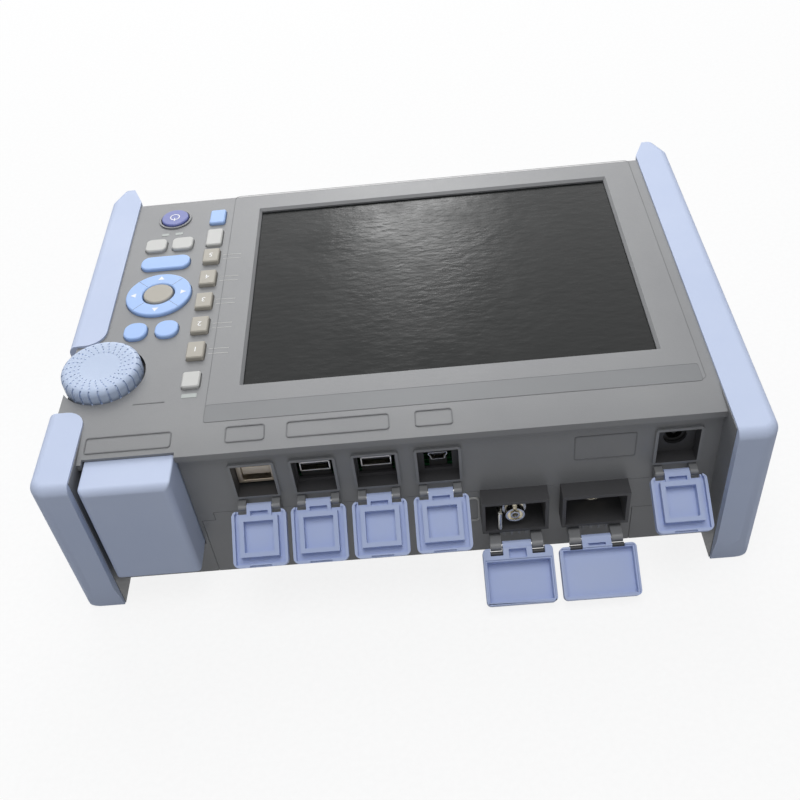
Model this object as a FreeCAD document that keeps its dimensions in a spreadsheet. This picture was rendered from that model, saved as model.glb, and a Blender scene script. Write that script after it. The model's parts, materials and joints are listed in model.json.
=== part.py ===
import FreeCAD, Part
import os
import re
import Sketcher

# A hand-held optical time domain reflectometer, lying on its back with its connector panel
# towards -Y, its display facing +Z and its hinged connector covers hanging open.
# Millimetres.  The origin is the middle of the flat rear face.

os.makedirs("parts", exist_ok=True)
doc = FreeCAD.newDocument("Reflectometer")
Vector = FreeCAD.Vector

# ---------------------------------------------------------------- driving dimensions
SIZES = (
    # case shells
    ("case_width", 279, "width of the two case shells, under the side protectors"),
    ("case_far", 92, "far face of the case, from the origin"),
    ("wing_near", 101, "near face of the side wings that flank the connector panel"),
    ("panel_face", 87.5, "connector panel, from the origin"),
    ("panel_half", 127, "half width of the connector panel between the wings"),
    ("seam_height", 47, "parting line between the rear and front shells"),
    ("front_height", 79, "front face of the case"),
    ("wall", 2.5, "case wall"),
    ("plate", 2, "front plate thickness"),
    ("lip_reach", 90, "edge of the front lip that overhangs the connector panel"),
    ("lip_drop", 1.7, "fall of the bevelled band from its crease to the lip edge"),
    ("lip_thickness", 3, "thickness of the lip at its edge"),
    ("crease", 74, "start of the bevelled band"),
    ("side_rebate", 1.2, "step in the shells that takes the protectors' thin strips"),
    ("case_edge", 2.5, "rounding of the far front edge"),
    ("fit", 0.2, "gap round a piece that is fitted into another"),
    # side protectors
    ("protector_wall", 4, "thickness of the protectors outside the case"),
    ("protector_near", 105, "near face of the protectors"),
    ("protector_far", 105, "tip of the protectors' far horns"),
    ("horn_start", 96, "where the horn begins to lean inwards"),
    ("horn_inset", 4, "how far the horn's tip leans in from the outer face"),
    ("horn_width", 7, "flat width of the horn's tip"),
    ("protector_height", 80, "overall thickness at the protectors"),
    ("protector_strip", 16.2, "width of the protectors' strips on the front and rear"),
    ("protector_edge", 4, "rounding of the protectors' long outer edges"),
    ("protector_corner", 7, "rounding of the protectors' upright outer corners"),
    ("heel_bevel", 16, "height of the bevel under the protectors' near corners"),
    ("heel_foot", 3.2, "how far that bevel runs in at the bottom"),
    ("knob_gap_near", 62, "near end of the gap in the left protector at the knob"),
    ("knob_gap_far", 20, "far end of the gap in the left protector at the knob"),
    ("knob_gap_floor", 66, "height at which that gap stops"),
    # display
    ("window_x", 22.2, "display centre, from the middle line"),
    ("window_y", 12.5, "display centre, from the origin"),
    ("window_width", 171.4, "display opening, across"),
    ("window_length", 128.8, "display opening, from near to far"),
    ("window_edge", 1.2, "bevel of the opening's edge"),
    ("glass_margin", 3, "window's margin glued behind the plate"),
    ("glass", 1.6, "window thickness"),
    ("lcd_margin", 5, "display module's border round the opening"),
    ("lcd", 6, "display module thickness"),
    ("frame_sheet", 1, "sheet of the display's frame"),
    ("frame_ear", 6, "fixing ears of the display's frame"),
    ("dome_radius", 1.8, "contact domes under the keys"),
    ("ear_spread", 70, "ears' distance from the display centre"),
    ("post_radius", 2.5, "posts that carry the display frame"),
    # key field
    ("soft_column_x", -85.3, "centre line of the column of soft keys"),
    ("soft_key_width", 7.7, "soft key, across"),
    ("soft_key_length", 10.6, "soft key, from near to far"),
    ("soft_row_last", 38.9, "row of the farthest soft key"),
    ("soft_row_pitch", 17.2, "distance between soft keys"),
    ("help_row", 72.4, "row of the blue key above the column"),
    ("help_length", 11.4, "blue key, from near to far"),
    ("escape_row", 54.8, "row of the long white key"),
    ("escape_length", 13.2, "long white key, from near to far"),
    ("menu_row", -48.2, "row of the short white key"),
    ("menu_length", 9.6, "short white key, from near to far"),
    ("pad_x", -107.3, "centre line of the direction ring and its keys"),
    ("power_row", 74.8, "power button"),
    ("power_radius", 6.8, "power button"),
    ("trigger_row", 52, "row of the two measuring keys"),
    ("trigger_offset", 6.5, "their distance from the centre line"),
    ("trigger_width", 10.3, "measuring key, across"),
    ("trigger_length", 9.6, "measuring key, from near to far"),
    ("setup_row", 37.2, "long blue key"),
    ("setup_width", 23.5, "long blue key, across"),
    ("setup_length", 10, "long blue key, from near to far"),
    ("ring_row", 12.4, "direction ring"),
    ("ring_radius", 15.2, "direction ring, outside radius"),
    ("ring_bore", 7.5, "direction ring, inside radius"),
    ("ring_flange", 0.6, "thickness of the ring's flange, thin so that it can tilt"),
    ("gimbal_radius", 9.7, "collar that the ring tilts on, outside radius"),
    ("gimbal", 0.4, "thickness of that collar"),
    ("gimbal_drop", 0.4, "gap between the ring and its collar, for the tilt"),
    ("enter_radius", 6.9, "key inside the ring"),
    ("lower_row", -13, "row of the two round keys"),
    ("lower_offset", 7, "their distance from the centre line"),
    ("lower_width", 10.4, "round key, across"),
    ("lower_length", 11.2, "round key, from near to far"),
    ("key_rise", 1.6, "height of most keys above the front face"),
    ("soft_key_rise", 2.1, "height of the soft keys above the front face"),
    ("key_gap", 0.3, "gap between a key and its hole, and under the plate"),
    ("key_flange", 0.7, "flange that keeps a key behind the plate"),
    ("flange_thickness", 1.1, "thickness of that flange"),
    ("key_travel", 0.8, "travel of a key"),
    ("key_bevel", 0.5, "bevel round a key's top"),
    ("mat", 1, "rubber contact mat"),
    ("dome", 0.4, "height of a contact dome on the mat"),
    ("board", 1.6, "circuit board thickness"),
    ("mat_left", -122, "left edge of the contact mat"),
    ("mat_right", -77.5, "right edge of the contact mat"),
    ("mat_far", 87, "far edge of the contact mat"),
    ("mat_near", -60.5, "near edge of the contact mat"),
    ("mat_step_x", -101.5, "left edge of the mat beside the knob well"),
    ("mat_step_y", -17.5, "where the mat narrows beside the knob well"),
    ("boss_x", -92.3, "posts that hold the keypad board"),
    ("boss_radius", 1.8, "posts that hold the keypad board"),
    ("lamp_row", 62, "row of the two status lamps"),
    ("lamp_offset", 3.4, "their distance from the centre line"),
    ("lamp_width", 3.6, "status lamp, across"),
    ("lamp_length", 1.8, "status lamp, from near to far"),
    ("laser_lamp_row", -57, "lamp that shows light at the ports"),
    ("laser_lamp_width", 6.4, "lamp that shows light at the ports, across"),
    ("laser_lamp_length", 2.4, "the same lamp, from near to far"),
    # rotary knob
    ("knob_x", -124.3, "knob centre, from the middle line"),
    ("knob_y", -39.7, "knob centre, from the origin"),
    ("knob_radius", 17, "knob"),
    ("knob_rise", 5.5, "height of the knob above the front face"),
    ("knob_shoulder", 2.6, "rounding of the knob's top edge"),
    ("knob_skirt", 2.8, "depth of the knob below the front face"),
    ("knob_bore_depth", 5, "depth of the shaft's socket in the knob"),
    ("notch_count", 44, "notches round the knob's rim"),
    ("notch_radius", 0.55, "one notch"),
    ("well_gap", 1.2, "gap round the knob in its well"),
    ("well_wall", 1.5, "wall round the knob's well"),
    ("well_floor", 2.5, "thickness of the well's floor"),
    ("well_depth", 4, "depth of the well below the front face"),
    ("shaft_radius", 3, "encoder shaft"),
    ("shaft_fit", 0.05, "running clearance of shafts and pins, on the radius"),
    ("bush_radius", 4.5, "encoder's threaded neck"),
    ("encoder_size", 13, "side of the square encoder housing"),
    ("encoder_height", 10, "height of the encoder housing"),
    ("plunger_radius", 2.4, "push contact under the shaft, radius"),
    ("plunger_height", 2.5, "height of that push contact"),
    # connector ports in the front shell
    ("lan_x", -60, "network port"),
    ("usb_first_x", -35.5, "first host port"),
    ("usb_second_x", -10.4, "second host port"),
    ("usb_mini_x", 14.8, "device port"),
    ("dc_x", 110.4, "power inlet"),
    ("port_width", 18.9, "port frame, outside width"),
    ("port_height", 20.3, "port frame, outside height"),
    ("port_base", 48.1, "lower edge of the port frames"),
    ("port_wall", 1.2, "port frame wall"),
    ("port_stand", 1.2, "how far the frames stand out of the panel"),
    ("port_depth", 5, "depth of the ports behind the panel"),
    ("port_back", 1.5, "back wall of the ports"),
    ("main_board_top", 51, "upper side of the main board"),
    ("lan_width", 16, "network jack, across"),
    ("lan_height", 13.4, "height of the network jack"),
    ("lan_length", 21, "depth of the network jack"),
    ("lan_mouth_width", 11.8, "plug opening of the network jack, across"),
    ("lan_mouth_height", 8, "height of that opening"),
    ("usb_width", 13.2, "host jack shell, across"),
    ("usb_height", 5.8, "height of the host jack shell"),
    ("usb_axis", 57.7, "height of the host and device jacks' centre"),
    ("usb_length", 14, "depth of the host jack shell"),
    ("usb_shell", 0.4, "host jack's sheet"),
    ("mini_width", 7.8, "device jack shell, across"),
    ("mini_height", 4, "height of the device jack shell"),
    ("mini_length", 9, "depth of the device jack shell"),
    ("socket_depth", 8.5, "depth of the jacks' sockets"),
    ("dc_axis", 58.3, "height of the power inlet"),
    ("dc_radius", 4.7, "hole of the power inlet"),
    ("dc_bore", 3.2, "barrel of the power jack"),
    ("dc_pin", 1.05, "centre pin of the power jack"),
    ("dc_length", 12, "power jack"),
    # small hinged covers
    ("cover_width", 22.5, "small cover, across"),
    ("cover_length", 23.2, "small cover, from its hinge edge to its free edge"),
    ("hinge_out", 3.56, "pin's distance in front of the panel"),
    ("hinge_height", 45.4, "pin's height"),
    ("cover_start", 1.64, "from the pin to the cover's hinge edge"),
    ("rim_back", 3.26, "from the pin to the rim's plane"),
    ("skirt_depth", 2.2, "depth of the rim's channel"),
    ("cover_plate", 1.8, "thickness of a small cover's plate"),
    ("cover_wall", 1.2, "outer rim"),
    ("cover_corner", 2.5, "corner rounding of the small covers"),
    ("plug_width", 15.9, "inner frame that enters the port, across"),
    ("plug_length", 16.4, "inner frame that enters the port, along the cover"),
    ("plug_start", 4.4, "from the pin to the inner frame"),
    ("plug_wall", 1.9, "inner frame wall"),
    ("plug_reach", 1.5, "how far the inner frame stands past the rim"),
    ("pull_slot_width", 9, "finger slot in the free edge, across"),
    ("pull_slot_depth", 0.7, "depth of that finger slot"),
    ("lug_gap", 10.8, "clear width between a small hinge's lugs"),
    ("lug_width", 3.2, "small hinge lug"),
    ("lug_radius", 1.6, "rounded nose of a small hinge lug"),
    ("lug_root", 38, "foot of the small lugs on the panel"),
    ("pin_radius", 0.9, "small hinge pin"),
    ("knuckle_radius", 1.7, "small cover's knuckle"),
    ("hinge_side_gap", 0.3, "side play of the knuckles"),
    ("neck_gap", 0.3, "gap between a shut cover's neck and the port frame"),
    ("pin_hole_play", 0.02, "play of the hinge pins in their lugs and arms"),
    ("neck_slot_width", 7.2, "slot in the covers' necks"),
    ("notch_start", 3, "depth of the cover's notches for the lugs, from the pin"),
    ("droop_lan", 34.6, "how far the network port's open cover hangs below level, degrees"),
    ("droop_usb_first", 35.7, "the same for the first host port's cover"),
    ("droop_usb_second", 33, "the same for the second host port's cover"),
    ("droop_usb_mini", 32.4, "the same for the device port's cover"),
    ("droop_dc", 30, "the same for the power inlet's cover"),
    # optical unit
    ("unit_left", -86.5, "lower left side of the optical unit"),
    ("unit_step_x", -80.8, "upper left side of the optical unit"),
    ("unit_step_height", 34.7, "height of the step between them"),
    ("unit_height", 39.5, "top of the optical unit"),
    ("unit_right", 122, "upper right side of the optical unit"),
    ("unit_foot_x", 95, "lower right side of the optical unit"),
    ("unit_foot_height", 21.5, "height of the step between them"),
    ("unit_far", 12, "far end of the optical unit"),
    ("shroud_first_x", 44.8, "centre of the first optical port"),
    ("shroud_second_x", 78.1, "centre of the second optical port"),
    ("shroud_width", 27.8, "shroud, outside width"),
    ("shroud_base", 21.2, "lower side of the shrouds"),
    ("shroud_height", 19, "shroud, outside height"),
    ("shroud_wall", 1.5, "shroud wall"),
    ("shroud_reach", 8, "how far the shrouds stand out of the panel"),
    ("shroud_depth", 5.5, "depth of the shrouds behind the panel"),
    ("arm_gap", 12.8, "clear width between a large hinge's arms"),
    ("arm_width", 4.7, "large hinge arm"),
    ("arm_radius", 2.1, "rounded nose of the arms"),
    ("big_hinge_out", 11.5, "pin's distance in front of the panel"),
    ("big_hinge_height", 16.7, "pin's height"),
    ("big_pin_radius", 1.1, "large hinge pin"),
    ("big_knuckle_radius", 1.9, "large cover's knuckle"),
    ("big_droop", 30.5, "how far the large covers hang below level, degrees"),
    ("big_rim_back", 3.2, "from the pin to the rim's plane"),
    ("big_wall", 1.5, "side walls of the large covers"),
    ("big_floor", 1.5, "bottom of the large covers"),
    ("big_corner", 2, "corner rounding of the large covers"),
    ("big_notch_start", 4.5, "depth of the notches for the arms, from the pin"),
    ("rim_step", 0.7, "step inside the large covers' rim"),
    ("cap_first_width", 29.4, "first large cover, across"),
    ("cap_first_start", 1.3, "from the pin to its hinge edge"),
    ("cap_first_length", 23.8, "its length"),
    ("cap_first_depth", 7.4, "its depth, floor to rim"),
    ("cap_first_land", 5.7, "land between the first large cover's hinge edge and its cup"),
    ("cap_second_width", 32, "second large cover, across"),
    ("cap_second_start", 3.1, "from the pin to its hinge edge"),
    ("cap_second_length", 22, "its length"),
    ("cap_second_depth", 5.8, "its depth, floor to rim"),
    ("cap_second_land", 1.5, "land between the second one's hinge edge and its cup"),
    ("ferrule_radius", 1.25, "bore of the optical adapters' sleeves"),
    ("ferrule_depth", 8, "length of that bore"),
    ("adapter_height", 30.6, "height of the optical adapters' axis"),
    ("adapter_radius", 4, "threaded barrel of an adapter"),
    ("adapter_reach", 6.8, "how far the first barrel stands out of the panel"),
    ("second_adapter_reach", -1, "the same for the second, which is recessed"),
    ("adapter_flange", 12.7, "square flange of an adapter"),
    ("adapter_sheet", 1.2, "flange thickness"),
    ("adapter_screw", 0.9, "screw holes of an adapter's flange"),
    ("adapter_screw_inset", 1.8, "distance of those holes from the flange's edges"),
    ("slot_width", 2.6, "moulded slots under the shrouds"),
    ("slot_pitch", 3.8, "distance between those slots"),
    ("slot_height", 4.2, "height of those slots"),
    ("slot_depth", 1.5, "depth of those slots"),
    # option module
    ("option_left", -124.8, "left side of the option module"),
    ("option_right", -88.6, "right side of the option module"),
    ("option_near", 104, "the option module's outer face"),
    ("option_back", 62, "the option module's inner end"),
    ("option_base", 20, "underside of the option module"),
    ("option_top", 76, "top of the option module"),
    ("option_edge", 3, "rounding of its outer edges"),
    ("option_gap", 0.4, "gap round the option module"),
    # rear side
    ("battery_half", 62, "half width of the battery pack"),
    ("battery_near", 36, "near side of the battery pack"),
    ("battery_far", 84, "far side of the battery pack"),
    ("battery_top", 22, "top of the battery pack"),
    ("bay_gap", 1, "gap round the battery pack"),
    ("bay_ear", 8, "room for the battery cover's screws"),
    ("lid", 2, "thickness of the rear covers"),
    ("stand_outer", 120, "outside of the stand's arms"),
    ("stand_arm", 8, "width of the stand's arms"),
    ("stand_near", 20, "near edge of the stand's foot bar"),
    ("stand_bar", 10, "width of the foot bar"),
    ("stand_hinge_y", 80, "stand hinge"),
    ("stand_hinge_height", 3.6, "height of the stand hinge"),
    ("stand_half", 3, "half thickness of the stand"),
    ("stand_gap", 0.6, "gap round the stand in its recess"),
    ("stub_radius", 2, "the stand's pivot stubs"),
    ("stub_length", 2.5, "length of those stubs"),
    # inside
    ("board_end", 5.6, "main board beyond the power jack's centre"),
    ("main_board_far", 70, "far edge of the main board"),
    ("unit_board_height", 8, "under side of the optical unit's board"),
    ("laser_height", 12, "laser and receiver module"),
    ("screw_x", 132, "case screws' distance from the middle"),
    ("screw_far", 80, "row of the far case screws"),
    ("screw_near", 72, "row of the near case screws, towards the panel"),
    ("screw_radius", 1.5, "case screw shank, radius"),
    ("screw_head", 3, "case screw head, radius"),
    ("screw_head_height", 2.4, "height of a case screw head"),
    ("screw_depth", 8, "thread length in the front shell"),
    ("screw_boss", 4, "bosses for the case screws"),
)

sheet = doc.addObject("Spreadsheet::Sheet", "Sizes")
for row, (alias, value, meaning) in enumerate(SIZES, start=1):
    sheet.set(f"A{row}", alias.replace("_", " "))
    sheet.set(f"B{row}", str(value))
    sheet.set(f"C{row}", meaning)
    sheet.setAlias(f"B{row}", alias)
doc.recompute()

WORD = re.compile(r"[a-z_]+")
FUNCTIONS = {"sin", "cos", "tan", "min", "max"}


def bound(expression):
    """Turn the size names in an expression into references to the sheet."""
    def refer(match):
        word = match.group(0)
        return word if word in FUNCTIONS else "Sizes." + word
    return WORD.sub(refer, str(expression))


def size(alias):
    """The number in one cell of the sheet."""
    return float(sheet.get(alias))


# ---------------------------------------------------------------- building blocks
TURN = {
    "z": FreeCAD.Rotation(),
    "y": FreeCAD.Rotation(Vector(1, 0, 0), -90),
    "x": FreeCAD.Rotation(Vector(0, 1, 0), 90),
}
# sketch axes: "xy" has its normal along +Z, "xz" along -Y and "yz" along +X
FACING = {
    "xy": (FreeCAD.Rotation(), "z"),
    "xz": (FreeCAD.Rotation(Vector(1, 0, 0), 90), "y"),
    "yz": (FreeCAD.Rotation(Vector(1, 1, 1), 120), "x"),
}


def around(centre, half):
    """A pair of limits at equal distances from a centre."""
    return (f"{centre} - ({half})", f"{centre} + ({half})")


def both_sides(low, high):
    """The same pair of limits to the right and to the left of the middle."""
    return ((low, high), (f"-({high})", f"-({low})"))


def place(piece, x=None, y=None, z=None):
    for axis, expression in (("x", x), ("y", y), ("z", z)):
        if expression is not None:
            piece.setExpression("Placement.Base." + axis, bound(expression))


def block(name, x, y, z):
    """A box between two limits along each axis."""
    piece = doc.addObject("Part::Box", name)
    for side, limits in (("Length", x), ("Width", y), ("Height", z)):
        piece.setExpression(side, bound(f"({limits[1]}) - ({limits[0]})"))
    place(piece, x[0], y[0], z[0])
    return piece


def rod(name, start, radius, length, axis="z"):
    """A cylinder that runs along one axis from its start point."""
    piece = doc.addObject("Part::Cylinder", name)
    piece.Placement = FreeCAD.Placement(Vector(), TURN[axis])
    piece.setExpression("Radius", bound(radius))
    piece.setExpression("Height", bound(length))
    place(piece, *start)
    return piece


def prism(name, plane, corners, start, length):
    """A polygon, drawn on a plane at `start` along its normal's axis, and extruded."""
    turn, axis = FACING[plane]
    sketch = doc.addObject("Sketcher::SketchObject", name + "_profile")
    sketch.Placement = FreeCAD.Placement(Vector(), turn)
    place(sketch, **{axis: start})
    draw_polygon(sketch, corners)
    piece = doc.addObject("Part::Extrusion", name)
    piece.Base = sketch
    piece.DirMode = "Normal"
    piece.Solid = True
    piece.setExpression("LengthFwd", bound(length))
    return piece


def draw_polygon(sketch, corners):
    """A closed outline whose corners are held at their distances from the sketch's origin."""
    count = len(corners)
    for index in range(count):
        step = Vector(index, index * index, 0)
        following = Vector((index + 1) % count, ((index + 1) % count) ** 2, 0)
        sketch.addGeometry(Part.LineSegment(step, following))
    for index in range(count):
        sketch.addConstraint(Sketcher.Constraint("Coincident", index, 2, (index + 1) % count, 1))
    for index, corner in enumerate(corners):
        for kind, expression in zip(("DistanceX", "DistanceY"), corner):
            held = sketch.addConstraint(Sketcher.Constraint(kind, -1, 1, index, 1, 1.0))
            sketch.renameConstraint(held, f"{kind}_{index}")
            sketch.setExpression(f"Constraints.{kind}_{index}", bound(expression))


def union(name, pieces):
    joined = doc.addObject("Part::MultiFuse", name)
    joined.Shapes = pieces
    return joined


def cut(name, base, tools):
    """The base less all the tools."""
    result = doc.addObject("Part::Cut", name)
    result.Base = base
    result.Tool = tools[0] if len(tools) == 1 else union(name + "_tools", tools)
    return result


def upright(edge, box):
    return box.ZLength > 0.1 and box.XLength < 0.01 and box.YLength < 0.01


def soften(name, base, steps):
    """A PartDesign body on top of a base piece, with rounded or bevelled edges."""
    body = doc.addObject("PartDesign::Body", name)
    body.BaseFeature = base
    body.setExpression("Placement", f"{base.Name}.Placement")
    doc.recompute()
    for number, (kind, amount, chosen) in enumerate(steps):
        feature = body.Tip
        edges = [f"Edge{index}" for index, edge in enumerate(feature.Shape.Edges, start=1)
                 if chosen(edge, edge.BoundBox, feature.Shape.BoundBox)]
        finish = body.newObject("PartDesign::" + kind, f"{name}_{kind}_{number}")
        finish.Base = (feature, edges)
        finish.setExpression("Radius" if kind == "Fillet" else "Size", bound(amount))
        body.Tip = finish
        doc.recompute()
    return body


def near(one, other):
    return abs(one - other) < 0.01


nodes = []


def node(name, piece):
    """Name a finished sub-part: its label is its file's name."""
    piece.Label = name
    nodes.append(piece)
    return piece


# ---------------------------------------------------------------- shared lines of the case
HALF = "case_width / 2"
PANEL = "-panel_face"
PLATE_UNDER = "front_height - plate"
SHAFT_HOLE = "pin_radius + shaft_fit"
PROTECTOR_X = "(case_width / 2 + protector_wall)"
STRIP_X = f"{PROTECTOR_X} - protector_strip"
SMALL_HINGE_Y = "-panel_face - hinge_out"
BIG_HINGE_Y = "-panel_face - big_hinge_out"
PORTS = ("lan_x", "usb_first_x", "usb_second_x", "usb_mini_x", "dc_x")
SHROUDS = ("shroud_first_x", "shroud_second_x")
SCREWS = [(side + "screw_x", row) for side in ("", "-") for row in ("screw_far", "-screw_near")]
CASE_OUTLINE = (
    (f"-{HALF}", "-wing_near"), ("-panel_half", "-wing_near"), ("-panel_half", PANEL),
    ("panel_half", PANEL), ("panel_half", "-wing_near"), (HALF, "-wing_near"),
    (HALF, "case_far"), (f"-{HALF}", "case_far"),
)
INSIDE_X = (f"wall - {HALF}", f"{HALF} - wall")
INSIDE_Y = ("wall - panel_face", "case_far - wall")
OPTION_X = ("option_left - option_gap", "option_right + option_gap")
OPTION_END = "option_gap - option_back"
UNIT_NEAR = "shroud_depth + wall - panel_face"
THROUGH_PLATE = ("front_height - plate - 1", "front_height + 1")
EAR_OFFSET = "(window_length / 2 + lcd_margin + frame_sheet + frame_ear / 2)"
KEY_STACK = "key_gap + flange_thickness + key_travel + key_gap + dome"
PLUNGER_REST = "1 + key_travel + fit"
CHIPS = (("-20", "20", "12", "2"), ("25", "15", "9", "1.6"), ("60", "35", "7", "1.4"),
         ("-60", "30", "10", "3"), ("0", "-25", "8", "1.6"), ("75", "-20", "11", "6"))
UNIT_SCREWS = [(x, y) for x in ("unit_left + wall + 3", "unit_foot_x - wall - 3")
               for y in ("unit_far - wall - 3", f"{UNIT_NEAR} + 3")]
BATTERY_SCREWS = [(f"{side}(battery_half + bay_gap + bay_ear / 2)", "(battery_near + battery_far) / 2")
                  for side in ("", "-")]

# keys: node, centre, width, length, corner rounding, height above the front face
SOFT_KEYS = [(f"key_f{number}", "soft_column_x", f"soft_row_last - {5 - number} * soft_row_pitch",
              "soft_key_width", "soft_key_length", "0.8", "soft_key_rise")
             for number in range(5, 0, -1)]
KEYS = SOFT_KEYS + [
    ("key_help", "soft_column_x", "help_row", "soft_key_width", "help_length", "1.2", "key_rise"),
    ("key_escape", "soft_column_x", "escape_row", "soft_key_width", "escape_length", "1.2", "key_rise"),
    ("key_menu", "soft_column_x", "menu_row", "soft_key_width", "menu_length", "1.2", "key_rise"),
    ("key_average", "pad_x - trigger_offset", "trigger_row", "trigger_width", "trigger_length",
     "2.6", "key_rise"),
    ("key_realtime", "pad_x + trigger_offset", "trigger_row", "trigger_width", "trigger_length",
     "2.6", "key_rise"),
    ("key_setup", "pad_x", "setup_row", "setup_width", "setup_length", "4.2", "key_rise"),
    ("key_scale", "pad_x - lower_offset", "lower_row", "lower_width", "lower_length", "4.6", "key_rise"),
    ("key_file", "pad_x + lower_offset", "lower_row", "lower_width", "lower_length", "4.6", "key_rise"),
]
ROUND_KEYS = [
    ("power_button", "pad_x", "power_row", "power_radius", "key_rise"),
    ("key_enter", "pad_x", "ring_row", "enter_radius", "key_rise + 0.4"),
]
LAMPS = [
    ("pad_x - lamp_offset", "lamp_row", "lamp_width", "lamp_length"),
    ("pad_x + lamp_offset", "lamp_row", "lamp_width", "lamp_length"),
    ("soft_column_x", "laser_lamp_row", "laser_lamp_width", "laser_lamp_length"),
]
BOSS_ROWS = ("62", "31", "-25", "-55")


def rounded_block(name, x, y, z, corner):
    """A box with rounded upright corners, made from two boxes and four cylinders."""
    long = block(name + "_long", x, (f"({y[0]}) + {corner}", f"({y[1]}) - {corner}"), z)
    wide = block(name + "_wide", (f"({x[0]}) + {corner}", f"({x[1]}) - {corner}"), y, z)
    rounds = [rod(f"{name}_corner", (f"({px}) {sx} {corner}", f"({py}) {sy} {corner}", z[0]), corner,
                  f"({z[1]}) - ({z[0]})")
              for px, sx in ((x[0], "+"), (x[1], "-")) for py, sy in ((y[0], "+"), (y[1], "-"))]
    return union(name, [long, wide] + rounds)


# ---------------------------------------------------------------- front shell
def build_front_case():
    shell = prism("front_shell", "xy", CASE_OUTLINE, "seam_height", "front_height - seam_height")
    lip = prism("front_lip", "yz", (
        (PANEL, "front_height"), ("-crease", "front_height"),
        ("-lip_reach", "front_height - lip_drop"),
        ("-lip_reach", "front_height - lip_drop - lip_thickness"),
        (PANEL, "front_height - lip_drop - lip_thickness - 1")), "-panel_half", "2 * panel_half")
    bevel = prism("front_bevel", "yz", (
        ("-crease", "front_height"), ("-crease", "front_height + 5"),
        ("-wing_near", "front_height + 5"), ("-lip_reach", "front_height - lip_drop")),
        "-panel_half", "2 * panel_half")
    cavity = prism("front_cavity", "yz", (
        (INSIDE_Y[0], "seam_height - 1"), (INSIDE_Y[0], f"{PLATE_UNDER} - wall"),
        ("-crease", PLATE_UNDER), (INSIDE_Y[1], PLATE_UNDER), (INSIDE_Y[1], "seam_height - 1")),
        INSIDE_X[0], "case_width - 2 * wall")
    hollow = cut("front_hollow", union("front_outside", [shell, lip]), [cavity])

    well_block = block("well_block", (f"-{HALF}", "knob_x + knob_radius + well_gap + well_wall"),
                       around("knob_y", "knob_radius + well_gap + well_wall"),
                       ("front_height - well_depth - well_floor", PLATE_UNDER))
    posts = [rod("lcd_post", (f"window_x {sx} ear_spread", f"window_y {sy} {EAR_OFFSET}",
                              "front_height - plate - glass - lcd"), "post_radius", "glass + lcd")
             for sx in "+-" for sy in "+-"]
    bosses = [rod("keypad_boss", ("boss_x", row, f"front_height - plate - ({KEY_STACK} + mat)"),
                  "boss_radius", f"{KEY_STACK} + mat") for row in BOSS_ROWS]
    screw_bosses = [rod("front_screw_boss", (x, y, "seam_height"), "screw_boss",
                        "front_height - plate - seam_height") for x, y in SCREWS]
    frames = [block("port_frame", around(x, "port_width / 2"),
                    (f"{PANEL} - port_stand", f"{PANEL} + port_depth + port_back"),
                    ("port_base", "port_base + port_height")) for x in PORTS]
    solid = union("front_solid", [hollow, well_block] + posts + bosses + screw_bosses + frames)

    openings = [bevel]
    openings.append(block("window_opening", around("window_x", "window_width / 2"),
                          around("window_y", "window_length / 2"), THROUGH_PLATE))
    openings.append(rod("knob_well", ("knob_x", "knob_y", "front_height - well_depth"),
                        "knob_radius + well_gap", "well_depth + 1"))
    openings.append(rod("shaft_passage", ("knob_x", "knob_y", "front_height - well_depth - well_floor - 1"),
                        "bush_radius + fit", "well_floor + 2"))
    openings.append(block("option_opening", OPTION_X, ("-option_near", OPTION_END),
                          ("seam_height - 1", "option_top + option_gap")))
    openings.append(block("option_lip", OPTION_X, ("-option_near", PANEL),
                          ("seam_height", "front_height")))
    for name, x, y, width, length, corner, _ in KEYS:
        openings.append(rounded_block(name + "_hole", around(x, f"({width}) / 2 + key_gap"),
                                      around(y, f"({length}) / 2 + key_gap"), THROUGH_PLATE,
                                      f"({corner} + key_gap)"))
    power_key = ROUND_KEYS[0]
    for name, x, y, radius in (power_key[:4], ("direction_ring", "pad_x", "ring_row", "ring_radius")):
        openings.append(rod(name + "_hole", (x, y, "front_height - plate - 1"), f"{radius} + key_gap",
                            "plate + 2"))
    for x, y, width, length in LAMPS:
        openings.append(block("lamp_hole", around(x, f"{width} / 2 + shaft_fit"),
                              around(y, f"{length} / 2 + shaft_fit"), THROUGH_PLATE))
    for x in PORTS:
        openings.append(block("port_recess", around(x, "port_width / 2 - port_wall"),
                              (f"{PANEL} - port_stand - 1", f"{PANEL} + port_depth"),
                              ("port_base + port_wall", "port_base + port_height - port_wall")))
    openings.append(block("lan_passage", around("lan_x", "port_width / 2 - port_wall"),
                          (PANEL, f"{PANEL} + port_depth + port_back + 1"),
                          ("port_base + port_wall", "port_base + port_height - port_wall")))
    for x in ("usb_first_x", "usb_second_x"):
        openings.append(block("usb_passage", around(x, "usb_width / 2 + 0.9"),
                              (PANEL, f"{PANEL} + port_depth + port_back + 1"),
                              ("main_board_top - fit", "usb_axis + usb_height / 2 + 1.6")))
    openings.append(block("mini_passage", around("usb_mini_x", "mini_width / 2 + 1.8"),
                          (PANEL, f"{PANEL} + port_depth + port_back + 1"),
                          ("main_board_top - fit", "usb_axis + mini_height / 2 + 0.6")))
    openings.append(rod("dc_passage", ("dc_x", f"{PANEL} + port_depth - 1", "dc_axis"), "dc_radius",
                        "port_back + 2", "y"))
    for x, y in SCREWS:
        openings.append(rod("front_screw_hole", (x, y, "seam_height - 1"), "screw_radius",
                            "screw_depth + 1"))
    blank = cut("front_blank", solid, openings)

    def window_rim(edge, box, whole):
        inside = abs(box.Center.x - size("window_x")) < size("window_width") / 2 + 0.01
        level = near(box.ZMin, size("front_height")) and near(box.ZMax, size("front_height"))
        straight = near(box.XLength, size("window_width")) or near(box.YLength, size("window_length"))
        return inside and level and straight

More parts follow.
